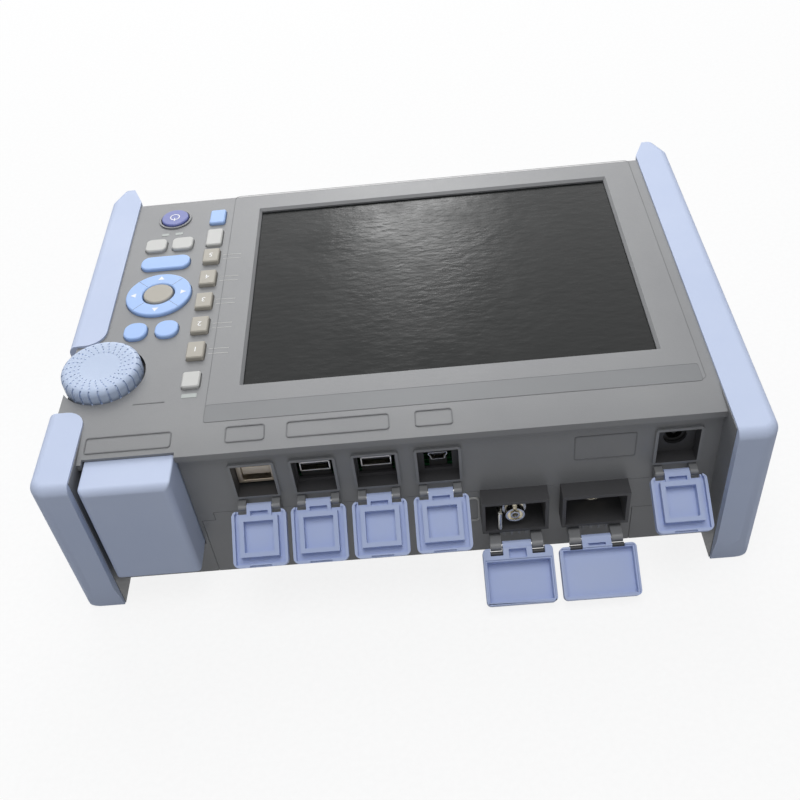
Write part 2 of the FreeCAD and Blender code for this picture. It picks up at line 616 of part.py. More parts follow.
    def far_edge(edge, box, whole):
        return near(box.YMin, whole.YMax) and near(box.ZMin, whole.ZMax) and box.XLength > size("case_width") / 2
    return soften("front_case_body", blank, (
        ("Chamfer", "window_edge", window_rim), ("Fillet", "case_edge", far_edge)))


# ---------------------------------------------------------------- rear shell
def unit_outline(grow, floor):
    """The stepped front outline of the optical unit, or of the bay that is a little larger."""
    return (
        (f"unit_left - {grow}", floor), (f"unit_left - {grow}", f"unit_step_height + {grow}"),
        (f"unit_step_x - {grow}", f"unit_step_height + {grow}"),
        (f"unit_step_x - {grow}", f"unit_height + {grow}"),
        (f"unit_right + {grow}", f"unit_height + {grow}"),
        (f"unit_right + {grow}", f"unit_foot_height - {grow}"),
        (f"unit_foot_x + {grow}", f"unit_foot_height - {grow}"), (f"unit_foot_x + {grow}", floor),
    )


def small_lugs(x):
    """The two lugs of one small hinge, standing on the panel under its port."""
    lugs = []
    for start in (f"{x} - lug_gap / 2 - lug_width", f"{x} + lug_gap / 2"):
        lugs.append(prism("lug_web", "yz", (
            (f"{PANEL} + 1", "hinge_height + lug_radius"), (SMALL_HINGE_Y, "hinge_height + lug_radius"),
            (SMALL_HINGE_Y, "hinge_height - lug_radius"), (PANEL, "lug_root"), (f"{PANEL} + 1",
                                                                                "lug_root")),
            start, "lug_width"))
        lugs.append(rod("lug_nose", (start, SMALL_HINGE_Y, "hinge_height"), "lug_radius", "lug_width",
                        "x"))
    return lugs


def build_rear_case():
    shell = prism("rear_shell", "xy", CASE_OUTLINE, "0", "seam_height")
    cavity = block("rear_cavity", INSIDE_X, INSIDE_Y, ("wall", "seam_height + 1"))
    hollow = cut("rear_hollow", shell, [cavity])
    bay_walls = prism("unit_bay_walls", "xz", unit_outline("(fit + wall)", "0"), "unit_far + fit + wall",
                      "panel_face + unit_far + fit + wall")
    battery_walls = block("battery_bay_walls",
                          ("-battery_half - bay_gap - bay_ear - wall",
                           "battery_half + bay_gap + bay_ear + wall"),
                          ("battery_near - bay_gap - wall", "battery_far + bay_gap + wall"),
                          ("0", "battery_top + bay_gap + wall"))
    stand_top = "stand_hinge_height + stand_half + stand_gap"
    arm_room = "stand_outer + stand_gap"
    stand_floor = [
        block("stand_arm_floor", sides,
              ("stand_near - stand_gap - wall", "stand_hinge_y + stand_half + stand_gap + wall"),
              ("0", f"{stand_top} + wall"))
        for sides in both_sides("stand_outer - stand_arm - stand_gap - wall",
                                f"{arm_room} + stub_length + fit + wall")]
    stand_floor.append(block("stand_bar_floor", (f"-({arm_room})", arm_room),
                             ("stand_near - stand_gap - wall",
                              "stand_near + stand_bar + stand_gap + wall"),
                             ("0", f"{stand_top} + wall")))
    screw_bosses = [rod("rear_screw_boss", (x, y, "0"), "screw_boss", "seam_height") for x, y in SCREWS]
    board_posts = [rod("board_post", (x, y, "unit_height + fit"), "post_radius",
                       "main_board_top - board - unit_height - fit")
                   for x in ("-70", "105") for y in ("-70", "8")]
    board_posts += [rod("tall_board_post", (x, "60", "0"), "post_radius", "main_board_top - board")
                    for x in ("-100", "100")]
    lugs = [lug for x in PORTS for lug in small_lugs(x)]
    solid = union("rear_solid", [hollow, bay_walls, battery_walls] + stand_floor + screw_bosses
                  + board_posts + lugs)

    openings = [prism("unit_bay", "xz", unit_outline("fit", "-1"), "unit_far + fit",
                      "panel_face + unit_far + fit + 1")]
    bay = block("battery_bay", around("0", "battery_half + bay_gap + bay_ear"),
                ("battery_near - bay_gap", "battery_far + bay_gap"), ("-1", "battery_top + bay_gap"))
    bay_bosses = [rod("battery_boss", (x, y, "lid"), "screw_boss", "battery_top") for x,
                  y in BATTERY_SCREWS]
    openings.append(cut("battery_room", bay, bay_bosses))
    for x, y in BATTERY_SCREWS:
        openings.append(rod("battery_boss_hole", (x, y, "lid - 1"), "screw_radius", "screw_depth + 1"))
    for sides in both_sides("stand_outer - stand_arm - stand_gap", arm_room):
        openings.append(block("stand_arm_recess", sides,
                              ("stand_near - stand_gap", "stand_hinge_y + stand_half + stand_gap"),
                              ("-1", stand_top)))
    openings.append(block("stand_bar_recess", (f"-({arm_room})", arm_room),
                          ("stand_near - stand_gap", "stand_near + stand_bar + stand_gap"), ("-1",
                                                                                             stand_top)))
    for sides in both_sides("stand_outer", "stand_outer + stand_gap + stub_length"):
        openings.append(rod("stub_hole", (sides[0], "stand_hinge_y", "stand_hinge_height"),
                            "stub_radius + shaft_fit", "stand_gap + stub_length", "x"))
    openings.append(block("option_bay", OPTION_X, ("-option_near", OPTION_END),
                          ("option_base - option_gap", "seam_height + 1")))
    for sides in both_sides(f"{STRIP_X} - fit", PROTECTOR_X):
        openings.append(block("side_rebate_cut", sides, ("-wing_near - 1", "case_far + 1"),
                              ("-1", "side_rebate")))
    for x, y in SCREWS:
        openings.append(rod("rear_screw_hole", (x, y, "-1"), "screw_radius + fit", "seam_height + 2"))
        openings.append(rod("screw_head_seat", (x, y, "-1"), "screw_head + fit",
                            "side_rebate + screw_head_height + 1"))
    for x in PORTS:
        left = f"{x} - lug_gap / 2 - lug_width"
        openings.append(rod("lug_pin_hole", (f"{left} - 1", SMALL_HINGE_Y, "hinge_height"),
                            "pin_radius + pin_hole_play", "lug_gap + 2 * lug_width + 2", "x"))
    return cut("rear_case_blank", solid, openings)


# ---------------------------------------------------------------- side protectors
def build_protector(side):
    """A soft channel round one side of the case, with a leaning horn at its far end."""
    sign = {"left": "-", "right": ""}[side]

    def along(expression):
        return f"{sign}({expression})"

    def across(low, high):
        """Limits that are given for the right side, in rising order for either side."""
        return (low, high) if side == "right" else (f"-({high})", f"-({low})")
    outline = [
        (along(STRIP_X), "-protector_near"), (along(PROTECTOR_X), "-protector_near"),
        (along(PROTECTOR_X), "horn_start"), (along(f"{PROTECTOR_X} - horn_inset"), "protector_far"),
        (along(f"{PROTECTOR_X} - horn_inset - horn_width"), "protector_far"),
        (along(STRIP_X), "case_far + 1"),
    ]
    blank = prism(f"protector_{side}_blank", "xy", outline, "0", "protector_height")
    outer_face = size("case_width") / 2 + size("protector_wall")

    def near_corner(edge, box, whole):
        return upright(edge, box) and near(box.YMin, whole.YMin) and near(abs(box.XMin), outer_face)

    def outer_edges(edge, box, whole):
        level = near(box.ZMin, box.ZMax) and (near(box.ZMin, whole.ZMin) or near(box.ZMax, whole.ZMax))
        return level and abs(box.Center.x) > outer_face - 0.6 * size("horn_inset") and box.YLength > 1
    rounded = soften(f"protector_{side}_rounded", blank, (
        ("Fillet", "protector_corner", near_corner), ("Fillet", "protector_edge", outer_edges)))

    strip = across(f"{STRIP_X} - 1", f"{PROTECTOR_X} + 1")
    hollow = [
        block(f"protector_{side}_grip", across("0", "case_width / 2 + fit / 2"),
              ("-wing_near - fit / 2", "case_far + fit / 2"), ("side_rebate - fit / 2", "front_height")),
        prism(f"protector_{side}_heel", "yz", (
            ("-protector_near - 1", "-1"), ("heel_foot - protector_near", "-1"),
            ("-protector_near", "heel_bevel"), ("-protector_near - 1", "heel_bevel")),
            strip[0], "protector_strip + 2"),
    ]
    if side == "left":
        hollow.append(block("knob_gap", strip, ("-knob_gap_near", "-knob_gap_far"),
                            ("knob_gap_floor", "protector_height + 1")))
    return cut(f"protector_{side}", rounded, hollow)


# ---------------------------------------------------------------- optical unit
def build_unit_case():
    shell = prism("unit_shell", "xz", unit_outline("0", "0"), "unit_far", "panel_face + unit_far")
    cavity = prism("unit_cavity", "xz", unit_outline("(-wall)", "-1"), "unit_far - wall",
                   f"unit_far - wall - ({UNIT_NEAR})")
    shrouds = [block("shroud", around(x, "shroud_width / 2"), (f"{PANEL} - shroud_reach", PANEL),
                     ("shroud_base", "shroud_base + shroud_height")) for x in SHROUDS]
    arms = []
    for x in SHROUDS:
        for start in (f"{x} - arm_gap / 2 - arm_width", f"{x} + arm_gap / 2"):
            arms.append(block("hinge_arm", (start, f"{start} + arm_width"), (BIG_HINGE_Y, f"{PANEL} + 1"),
                              around("big_hinge_height", "arm_radius")))
            arms.append(rod("arm_nose", (start, BIG_HINGE_Y, "big_hinge_height"), "arm_radius",
                            "arm_width", "x"))
    bosses = [rod("unit_boss", (x, y, "lid"), "screw_boss", "unit_height / 2") for x, y in UNIT_SCREWS]
    solid = union("unit_solid", [cut("unit_hollow", shell, [cavity])] + shrouds + arms + bosses)
    openings = []
    for x, reach in zip(SHROUDS, ("adapter_reach", "second_adapter_reach")):
        openings.append(block("shroud_mouth", around(x, "shroud_width / 2 - shroud_wall"),
                              (f"{PANEL} - shroud_reach - 1", f"{PANEL} + shroud_depth"),
                              ("shroud_base + shroud_wall", "shroud_base + shroud_height - shroud_wall")))
        openings.append(rod("adapter_hole", (x, f"{PANEL} + shroud_depth - 1", "adapter_height"),
                            "adapter_radius + fit", "2 * wall + 3", "y"))
        left = f"{x} - arm_gap / 2 - arm_width"
        openings.append(rod("arm_pin_hole", (f"{left} - 1", BIG_HINGE_Y, "big_hinge_height"),
                            "big_pin_radius + pin_hole_play", "arm_gap + 2 * arm_width + 2", "x"))
        for step in ("-1", "0", "1"):
            openings.append(block("comb_slot", around(f"{x} + ({step}) * slot_pitch", "slot_width / 2"),
                                  (f"{PANEL} - 1", f"{PANEL} + slot_depth"),
                                  ("shroud_base - 1 - slot_height", "shroud_base - 1")))
    for x, y in UNIT_SCREWS:
        openings.append(rod("unit_boss_hole", (x, y, "-1"), "screw_radius", "lid + screw_depth + 1"))
    return cut("unit_blank", solid, openings)


def build_adapter(name, x, reach, collar):
    """A threaded optical adapter: square flange, barrel, and a sleeve with the ferrule's bore."""
    front = f"{PANEL} - ({reach})"
    seat = f"{PANEL} + shroud_depth"
    pieces = [
        block(name + "_flange", around(x, "adapter_flange / 2"), (f"{seat} - adapter_sheet", seat),
              around("adapter_height", "adapter_flange / 2")),
        rod(name + "_barrel", (x, front, "adapter_height"), "adapter_radius",
            f"{seat} + 2 * wall + 3 - ({front})", "y"),
    ]
    if collar:
        pieces.append(rod(name + "_collar", (x, f"{front} + 4", "adapter_height"), "adapter_radius + 1",
                          "2.2", "y"))
    key_way = block(name + "_key_way", around(x, "0.8"), (f"{front} - 1", f"{front} + 3"),
                    ("adapter_height + ferrule_radius + 1", "adapter_height + adapter_radius + 2"))
    ring = cut(name + "_ring", rod(name + "_ring_outer", (x, f"{front} - 1", "adapter_height"),
                                   "adapter_radius - 0.8", "3", "y"),
               [rod(name + "_sleeve", (x, f"{front} - 2", "adapter_height"), "ferrule_radius + 0.7", "5",
                    "y")])
    bore = rod(name + "_bore", (x, f"{front} - 1", "adapter_height"), "ferrule_radius",
               "ferrule_depth + 1", "y")
    screw_offset = "(adapter_flange / 2 - adapter_screw_inset)"
    holes = [rod(name + "_screw_hole", (f"{x} {sign} {screw_offset}", f"{seat} - adapter_sheet - 1",
                                        f"adapter_height {sign} {screw_offset}"), "adapter_screw",
                 "adapter_sheet + 2", "y") for sign in "+-"]
    return cut(name + "_turned", union(name + "_solid", pieces), [key_way, ring, bore] + holes)


# ---------------------------------------------------------------- hinged covers
def along_depth(edge, box, whole):
    return box.YLength > 1 and box.XLength < 0.01 and box.ZLength < 0.01


def outer_rim(edge, box, whole):
    return near(box.YMin, whole.YMin) and near(box.YMax, whole.YMin)


def soft_box(name, x, y, z, corner, rim):
    """A box with rounded corners and a bevel round its outer face, which looks along -Y."""
    return soften(name, block(name + "_block", x, y, z), (
        ("Fillet", corner, along_depth), ("Chamfer", rim, outer_rim)))


def build_small_cover():
    """A small cover, shut against its port, with the hinge pin's axis as its own X axis."""
    back = "rim_back - skirt_depth"
    outer_face = f"{back} - cover_plate"
    tip = "cover_start + cover_length"
    blank = soft_box("cover_blank", around("0", "cover_width / 2"), (outer_face, "rim_back"),
                     ("cover_start", tip), "cover_corner", "cover_wall / 2")
    core = block("channel_core", around("0", "plug_width / 2"), (back, "rim_back + 1"),
                 ("plug_start", "plug_start + plug_length"))
    room = block("channel_room", around("0", "cover_width / 2 - cover_wall"), (back, "rim_back + 1"),
                 ("cover_start + cover_wall", f"{tip} - cover_wall"))
    hinge_side = block("hinge_side_opening", around("0", "lug_gap / 2 + lug_width + 3 * hinge_side_gap"),
                       (back, "rim_back + 1"), ("cover_start - 1", "plug_start"))
    notches = [block("lug_notch", sides, (f"{outer_face} - 1", "rim_back + 1"),
                     ("cover_start - 1", "notch_start"))
               for sides in both_sides("lug_gap / 2 - hinge_side_gap",
                                       "lug_gap / 2 + lug_width + hinge_side_gap")]
    slot = block("pull_slot", around("0", "pull_slot_width / 2"), ("rim_back - 1.2", "rim_back + 1"),
                 (f"{tip} - pull_slot_depth", f"{tip} + 1"))
    shell = cut("cover_shell", blank, [cut("cover_channel", room, [core]), hinge_side, slot] + notches)

    frame = block("cover_plug", around("0", "plug_width / 2"), (back, "rim_back + plug_reach"),
                  ("plug_start", "plug_start + plug_length"))
    well = block("plug_well", around("0", "plug_width / 2 - plug_wall"),
                 (back, "rim_back + plug_reach + 1"),
                 ("plug_start + plug_wall", "plug_start + plug_length - plug_wall"))
    neck = block("cover_neck", around("0", "lug_gap / 2 - hinge_side_gap"),
                 (outer_face, "hinge_out - port_stand - neck_gap"), ("0", "plug_start"))
    neck_slot = block("neck_slot", around("0", "neck_slot_width / 2"), ("0", "rim_back"),
                      ("knuckle_radius + 0.2", "plug_start - 0.8"))
    knuckle = rod("cover_knuckle", ("hinge_side_gap - lug_gap / 2", "0", "0"), "knuckle_radius",
                  "lug_gap - 2 * hinge_side_gap", "x")
    bore = rod("cover_bore", ("-lug_gap", "0", "0"), SHAFT_HOLE, "2 * lug_gap", "x")
    return cut("small_cover", union("cover_solid", [shell, frame, neck, knuckle]),
               [well, neck_slot, bore])


def build_large_cover(kind):
    """A cup-shaped cover, shut, with the hinge pin's axis as its own X axis."""
    width, start, land = (f"{kind}_{word}" for word in ("width", "start", "land"))
    outer_face = f"big_rim_back - {kind}_depth"
    tip = f"{start} + {kind}_length"
    blank = soft_box(kind + "_blank", around("0", f"{width} / 2"), (outer_face, "big_rim_back"),
                     (start, tip),
                     "big_corner", "big_corner / 2")
    cup = block(kind + "_cup", around("0", f"{width} / 2 - big_wall"),
                (f"{outer_face} + big_floor", "big_rim_back + 1"),
                (f"{start} + {land}", f"{tip} - big_wall"))
    step = block(kind + "_step", around("0", f"{width} / 2 - big_wall + rim_step"),
                 ("big_rim_back - rim_step", "big_rim_back + 1"),
                 (f"{start} + {land} - rim_step", f"{tip} - big_wall + rim_step"))
    notches = [block(kind + "_notch", sides, (f"{outer_face} - 1", "big_rim_back + 1"),
                     ("-5", "big_notch_start"))
               for sides in both_sides("arm_gap / 2 - hinge_side_gap",
                                       "arm_gap / 2 + arm_width + hinge_side_gap")]
    shell = cut(kind + "_shell", blank, [cup, step] + notches)
    neck = block(kind + "_neck", around("0", "arm_gap / 2 - hinge_side_gap"),
                 around("0", "big_knuckle_radius"),
                 ("0", f"{start} + 1"))
    knuckle = rod(kind + "_knuckle", ("hinge_side_gap - arm_gap / 2", "0", "0"), "big_knuckle_radius",
                  "arm_gap - 2 * hinge_side_gap", "x")
    neck_slot = block(kind + "_neck_slot", around("0", "neck_slot_width / 2"), ("0", "big_rim_back + 1"),
                      ("big_knuckle_radius + 0.2", f"{start} + {land} - rim_step - 0.6"))
    bore = rod(kind + "_bore", ("-arm_gap", "0", "0"), "big_pin_radius + shaft_fit", "2 * arm_gap", "x")
    return cut(kind + "_cover", union(kind + "_solid", [shell, neck, knuckle]), [neck_slot, bore])


def hang(name, shut_cover, x, hinge_y, hinge_height, droop):
    """Hang a cover that is modelled shut on its hinge pin, and let it fall open."""
    body = doc.addObject("PartDesign::Body", name + "_body")
    body.BaseFeature = shut_cover
    body.Placement = FreeCAD.Placement(Vector(), FreeCAD.Rotation(Vector(1, 0, 0), 90))
    body.setExpression("Placement.Rotation.Angle", bound(f"90 + {droop}"))
    place(body, x, hinge_y, hinge_height)
    node(name, body)


# ---------------------------------------------------------------- keys and knob
def level_top(edge, box, whole):
    return near(box.ZMin, whole.ZMax) and near(box.ZMax, whole.ZMax)


def key_blank(name, x, y, width, length, corner, rise):
    bottom = f"{PLATE_UNDER} - key_gap - flange_thickness"
    cap = rounded_block(name + "_cap", around(x, f"({width}) / 2"), around(y, f"({length}) / 2"),
                        (bottom, f"front_height + {rise}"), corner)
    flange = block(name + "_flange", around(x, f"({width}) / 2 + key_flange"),
                   around(y, f"({length}) / 2 + key_flange"), (bottom, f"{bottom} + flange_thickness"))
    return union(name + "_blank", [cap, flange])


def round_key_blank(name, x, y, radius, rise):
    bottom = f"{PLATE_UNDER} - key_gap - flange_thickness"
    cap = rod(name + "_cap", (x, y, bottom), radius, f"front_height + {rise} - ({bottom})")
    if name == "key_enter":
        return cap
    flange = rod(name + "_flange", (x, y, bottom), f"{radius} + key_flange", "flange_thickness")
    return union(name + "_blank", [cap, flange])


def build_ring():
    """The direction ring with its flange, and the hollow for the gimbal collar beneath."""
    bottom = f"{PLATE_UNDER} - key_gap - flange_thickness"
    disc = rod("ring_disc", ("pad_x", "ring_row", bottom), "ring_radius",
               f"front_height + key_rise - ({bottom})")
    flange = rod("ring_flange", ("pad_x", "ring_row", bottom), "ring_radius + key_flange", "ring_flange")
    bore = rod("ring_bore", ("pad_x", "ring_row", f"{bottom} - 1"), "ring_bore", "10")
    return cut("ring_blank", union("ring_solid", [disc, flange]), [bore])


def build_knob():
    bottom = "front_height - knob_skirt"
    disc = rod("knob_disc", ("knob_x", "knob_y", bottom), "knob_radius", "knob_skirt + knob_rise")
    socket = rod("knob_socket", ("knob_x", "knob_y", f"{bottom} - 1"), "shaft_radius + 0.02",
                 "knob_bore_depth + 1")
    blank = cut("knob_blank", disc, [socket])
    rounded = soften("knob_rounded", blank, (("Fillet", "knob_shoulder", level_top),))
    notches = []
    for index in range(int(size("notch_count"))):
        notch = doc.addObject("Part::Cylinder", "knob_notch")
        notch.setExpression("Radius", bound("notch_radius"))
        notch.setExpression("Height", bound("knob_skirt + knob_rise - knob_shoulder + 1"))
        turn = f"{index} * 360 / notch_count"
        place(notch, f"knob_x + knob_radius * cos({turn})", f"knob_y + knob_radius * sin({turn})",
              f"{bottom} - 0.5")
        notches.append(notch)
    return cut("knob_notched", rounded, notches)


# ---------------------------------------------------------------- jacks
def socket_block(name, x, width, z, mouth, length, tongue=None):
    """A connector jack on the main board: a housing with a plug opening in its near face."""
    face = f"{PANEL} + port_depth + fit"
    housing = block(name + "_housing", around(x, f"({width}) / 2"), (face, f"{face} + {length}"), z)
    opening = block(name + "_mouth", around(x, f"({mouth[0]}) / 2"),
                    (f"{face} - 1", f"{face} + socket_depth"), mouth[1:])
    hollow = cut(name + "_hollow", housing, [opening])
    if tongue is None:
        return hollow
    return union(name + "_jack", [hollow, tongue])


def build_all():
    node("front_case", build_front_case())
    node("rear_case", build_rear_case())
    node("side_protector_left", build_protector("left"))
    node("side_protector_right", build_protector("right"))
    node("optical_unit_case", build_unit_case())
    build_inside()
    build_rear_pieces()
    build_jacks()
    build_covers()
    build_controls()


def build_rear_pieces():
    unit_lid = block("unit_lid", ("unit_left + wall + fit", "unit_foot_x - wall - fit"),
                     (f"{UNIT_NEAR} + fit", "unit_far - wall - fit"), ("0", "lid"))
    legs = [rod("unit_board_leg", (x, y, "lid"), "2", "unit_board_height - lid")
            for x in ("-60", "70") for y in ("-60", "-5")]
    lid_holes = [rod("unit_lid_hole", (x, y, "-1"), "screw_radius + fit", "lid + 2")
                 for x, y in UNIT_SCREWS]
    lid_seats = [rod("unit_lid_seat", (x, y, "-1"), "screw_head + fit", "2") for x, y in UNIT_SCREWS]
    lid_on_legs = union("unit_cover_solid", [unit_lid] + legs)
    node("optical_unit_cover", cut("unit_cover", lid_on_legs, lid_holes + lid_seats))

    row = BATTERY_SCREWS[0][1]
    battery_lid = block("battery_lid", around("0", "battery_half + bay_gap + bay_ear - fit"),
                        ("battery_near - bay_gap + fit", "battery_far + bay_gap - fit"), ("0", "lid"))
    grip = [block("battery_lid_grip", around("0", "14"), (f"{row} + 14 + {step}", f"{row} + 15 + {step}"),
                  ("-1", "0.6")) for step in ("0", "2.5", "5")]
    seats = [rod("battery_lid_seat", (x, y, "-1"), "screw_head + fit", "2") for x, y in BATTERY_SCREWS]
    holes = [rod("battery_lid_hole", (x, y, "-1"), "screw_radius + fit", "lid + 2")
             for x, y in BATTERY_SCREWS]
    node("battery_cover", cut("battery_cover_blank", battery_lid, grip + seats + holes))
    node("battery_pack", block("battery_block", around("0", "battery_half"),
                               ("battery_near", "battery_far"), ("lid + fit", "battery_top")))

    screws = []
    for x, y in UNIT_SCREWS + BATTERY_SCREWS:
        head = rod("lid_screw_head", (x, y, "0"), "screw_head", "1")
        shank = rod("lid_screw_shank", (x, y, "1"), "screw_radius - shaft_fit", "lid + 4")
        slot = block("lid_screw_slot", around(x, "0.4"), around(y, "screw_head"), ("-1", "0.5"))
        screws.append(cut("lid_screw", union("lid_screw_solid", [head, shank]), [slot]))
    node("cover_screws", gather("cover_screws_group", screws))

    screws = []
    for x, y in SCREWS:
        head = rod("case_screw_head", (x, y, "side_rebate + 0.2"), "screw_head",
                   "screw_head_height - 0.2")
        shank = rod("case_screw_shank", (x, y, "side_rebate + screw_head_height"),
                    "screw_radius - shaft_fit",
                    "seam_height + screw_depth - 1 - side_rebate - screw_head_height")
        screws.append(union("case_screw", [head, shank]))
    node("case_screws", gather("case_screws_group", screws))

    arms = [block("stand_arm", sides, ("stand_near", "stand_hinge_y"),
                  around("stand_hinge_height", "stand_half"))
            for sides in both_sides("stand_outer - stand_arm", "stand_outer")]
    ends = [rod("stand_end", (sides[0], "stand_hinge_y", "stand_hinge_height"), "stand_half", "stand_arm",
                "x")
            for sides in both_sides("stand_outer - stand_arm", "stand_outer")]
    stubs = [rod("stand_stub", (sides[0], "stand_hinge_y", "stand_hinge_height"), "stub_radius",
                 "stub_length + 1", "x") for sides in both_sides("stand_outer - 1",
                                                                 "stand_outer + stub_length")]
    bar = block("stand_bar", around("0", "stand_outer"), ("stand_near", "stand_near + stand_bar"),
                around("stand_hinge_height", "stand_half"))
    node("tilt_stand", union("stand_blank", arms + ends + stubs + [bar]))

    module = soften("option_module_body", block("option_block", ("option_left", "option_right"),
                    ("-option_near", "-option_back"), ("option_base", "option_top")), (
        ("Fillet", "option_edge", lambda edge, box,
         whole: near(box.YMin, whole.YMin) and near(box.YMax, whole.YMin)),))
    node("option_module", module)


def gather(name, pieces):
    """Several separate solids in one node."""
    group = doc.addObject("Part::Compound", name)
    group.Links = pieces
    return group


def build_inside():
    glass_under = f"{PLATE_UNDER} - glass"
    lcd_under = f"{glass_under} - lcd"
    window = block("window_sheet", around("window_x", "window_width / 2 + glass_margin"),
                   around("window_y", "window_length / 2 + glass_margin"), (glass_under, PLATE_UNDER))
    node("display_window", window)
    node("lcd_panel", block("lcd_block", around("window_x", "window_width / 2 + lcd_margin"),
                            around("window_y", "window_length / 2 + lcd_margin"),
                            (lcd_under, glass_under)))
    tray_x = around("window_x", "window_width / 2 + lcd_margin + frame_sheet")
    tray_y = around("window_y", "window_length / 2 + lcd_margin + frame_sheet")
    tray = block("lcd_tray", tray_x, tray_y, (f"{lcd_under} - frame_sheet", f"{lcd_under} + lcd / 2"))
    room = block("lcd_room", around("window_x", "window_width / 2 + lcd_margin + 0.05"),
                 around("window_y", "window_length / 2 + lcd_margin + 0.05"),
                 (lcd_under, f"{lcd_under} + lcd"))
    ears = [block("lcd_ear", around(f"window_x {sx} ear_spread", "4"),
                  around(f"window_y {sy} {EAR_OFFSET}", "frame_ear / 2 + 0.5"),
                  (f"{lcd_under} - frame_sheet", lcd_under))
            for sx in "+-" for sy in "+-"]
    node("lcd_frame", cut("lcd_frame_blank", union("lcd_frame_solid", [tray] + ears), [room]))

    mat_top = f"{PLATE_UNDER} - key_gap - flange_thickness - key_travel - key_gap - dome"
    mat_under = f"{mat_top} - mat"

    def pad_outline(height, thickness, name):
        wide = block(name + "_far", ("mat_left", "mat_right"), ("mat_step_y", "mat_far"),
                     (height, f"{height} + {thickness}"))
        slim = block(name + "_near", ("mat_step_x", "mat_right"), ("mat_near", "mat_step_y"),
                     (height, f"{height} + {thickness}"))
        return [wide, slim]
    domes = [rod("contact_dome", (key[1], key[2], mat_top), "dome_radius", "dome")
             for key in KEYS + ROUND_KEYS]
    domes += [rod("contact_dome", (f"pad_x + ({x}) * (ring_radius - 3)",
                                   f"ring_row + ({y}) * (ring_radius - 3)", mat_top),
                  "dome_radius", "dome / 2") for x, y in ((1, 0), (-1, 0), (0, 1), (0, -1))]
    holes = [rod("mat_hole", ("boss_x", row, f"{mat_under} - 1"), "boss_radius + fit", "mat + 2")
             for row in BOSS_ROWS]
    mat = union("mat_solid", pad_outline(mat_under, "mat", "mat") + domes)
    node("keypad_mat", cut("mat_blank", mat, holes))
    board = pad_outline(f"{mat_under} - board", "board", "keypad_board")
    node("keypad_board", union("keypad_board_blank", board))

    lenses = [block("lamp_lens", around(x, f"{width} / 2"), around(y, f"{length} / 2"),
                    (mat_top, "front_height + 0.1")) for x, y, width, length in LAMPS]
    node("lamp_lenses", gather("lamp_lens_group", lenses))

    board = block("main_board_sheet", around("0", "dc_x + board_end"),
                  (f"{PANEL} + port_depth + port_back + 1", "main_board_far"),
                  ("main_board_top - board", "main_board_top"))
    chips = [block("chip", around(x, half), around(y, half),
                   ("main_board_top", f"main_board_top + {rise}")) for x, y, half, rise in CHIPS]
    notch = block("option_notch", ("-(dc_x + board_end) - 1", "option_right + 1"),
                  ("-panel_face", "2 - option_back"),
                  ("main_board_top - board - 1", "main_board_top + 1"))
    node("main_board", union("main_board_blank", [cut("main_board_notched", board, [notch])] + chips))

    unit_board = block("unit_board_sheet", ("unit_left + wall + 10", "unit_foot_x - wall - 10"),
                       (f"{UNIT_NEAR} + 14", "unit_far - wall - 10"),
                       ("unit_board_height", "unit_board_height + board"))
    node("optical_board", unit_board)
    node("laser_module", block("laser_block", ("-50", "30"), ("-55", "-5"),
                               ("unit_board_height + board", "unit_board_height + board + laser_height")))
    for number, name, x, reach, keyed in (
            ("1", "first_adapter", "shroud_first_x", "adapter_reach", True),
            ("2", "second_adapter", "shroud_second_x", "second_adapter_reach", False)):
        node(f"optical_adapter_{number}", build_adapter(name, x, reach, keyed))

    floor = "front_height - well_depth - well_floor"
    inner = f"{floor} - encoder_height"
    body = block("encoder_block", around("knob_x", "encoder_size / 2"),
                 around("knob_y", "encoder_size / 2"), (inner, floor))
    neck = rod("encoder_neck", ("knob_x", "knob_y", floor), "bush_radius", "well_floor")
    passage = rod("encoder_bore", ("knob_x", "knob_y", f"{inner} + 1"), "shaft_radius + shaft_fit",
                  "encoder_height + well_floor")
    node("encoder_body", cut("encoder_blank", union("encoder_solid", [body, neck]), [passage]))
    plunger_foot = f"{inner} + {PLUNGER_REST}"
    shaft_foot = f"{plunger_foot} + plunger_height"
    shaft_tip = "front_height - knob_skirt + knob_bore_depth - 0.1"
    node("encoder_plunger", rod("plunger_rod", ("knob_x", "knob_y", plunger_foot), "plunger_radius",
                                "plunger_height"))
    node("encoder_shaft", rod("shaft_rod", ("knob_x", "knob_y", shaft_foot), "shaft_radius",
                              f"{shaft_tip} - ({shaft_foot})"))


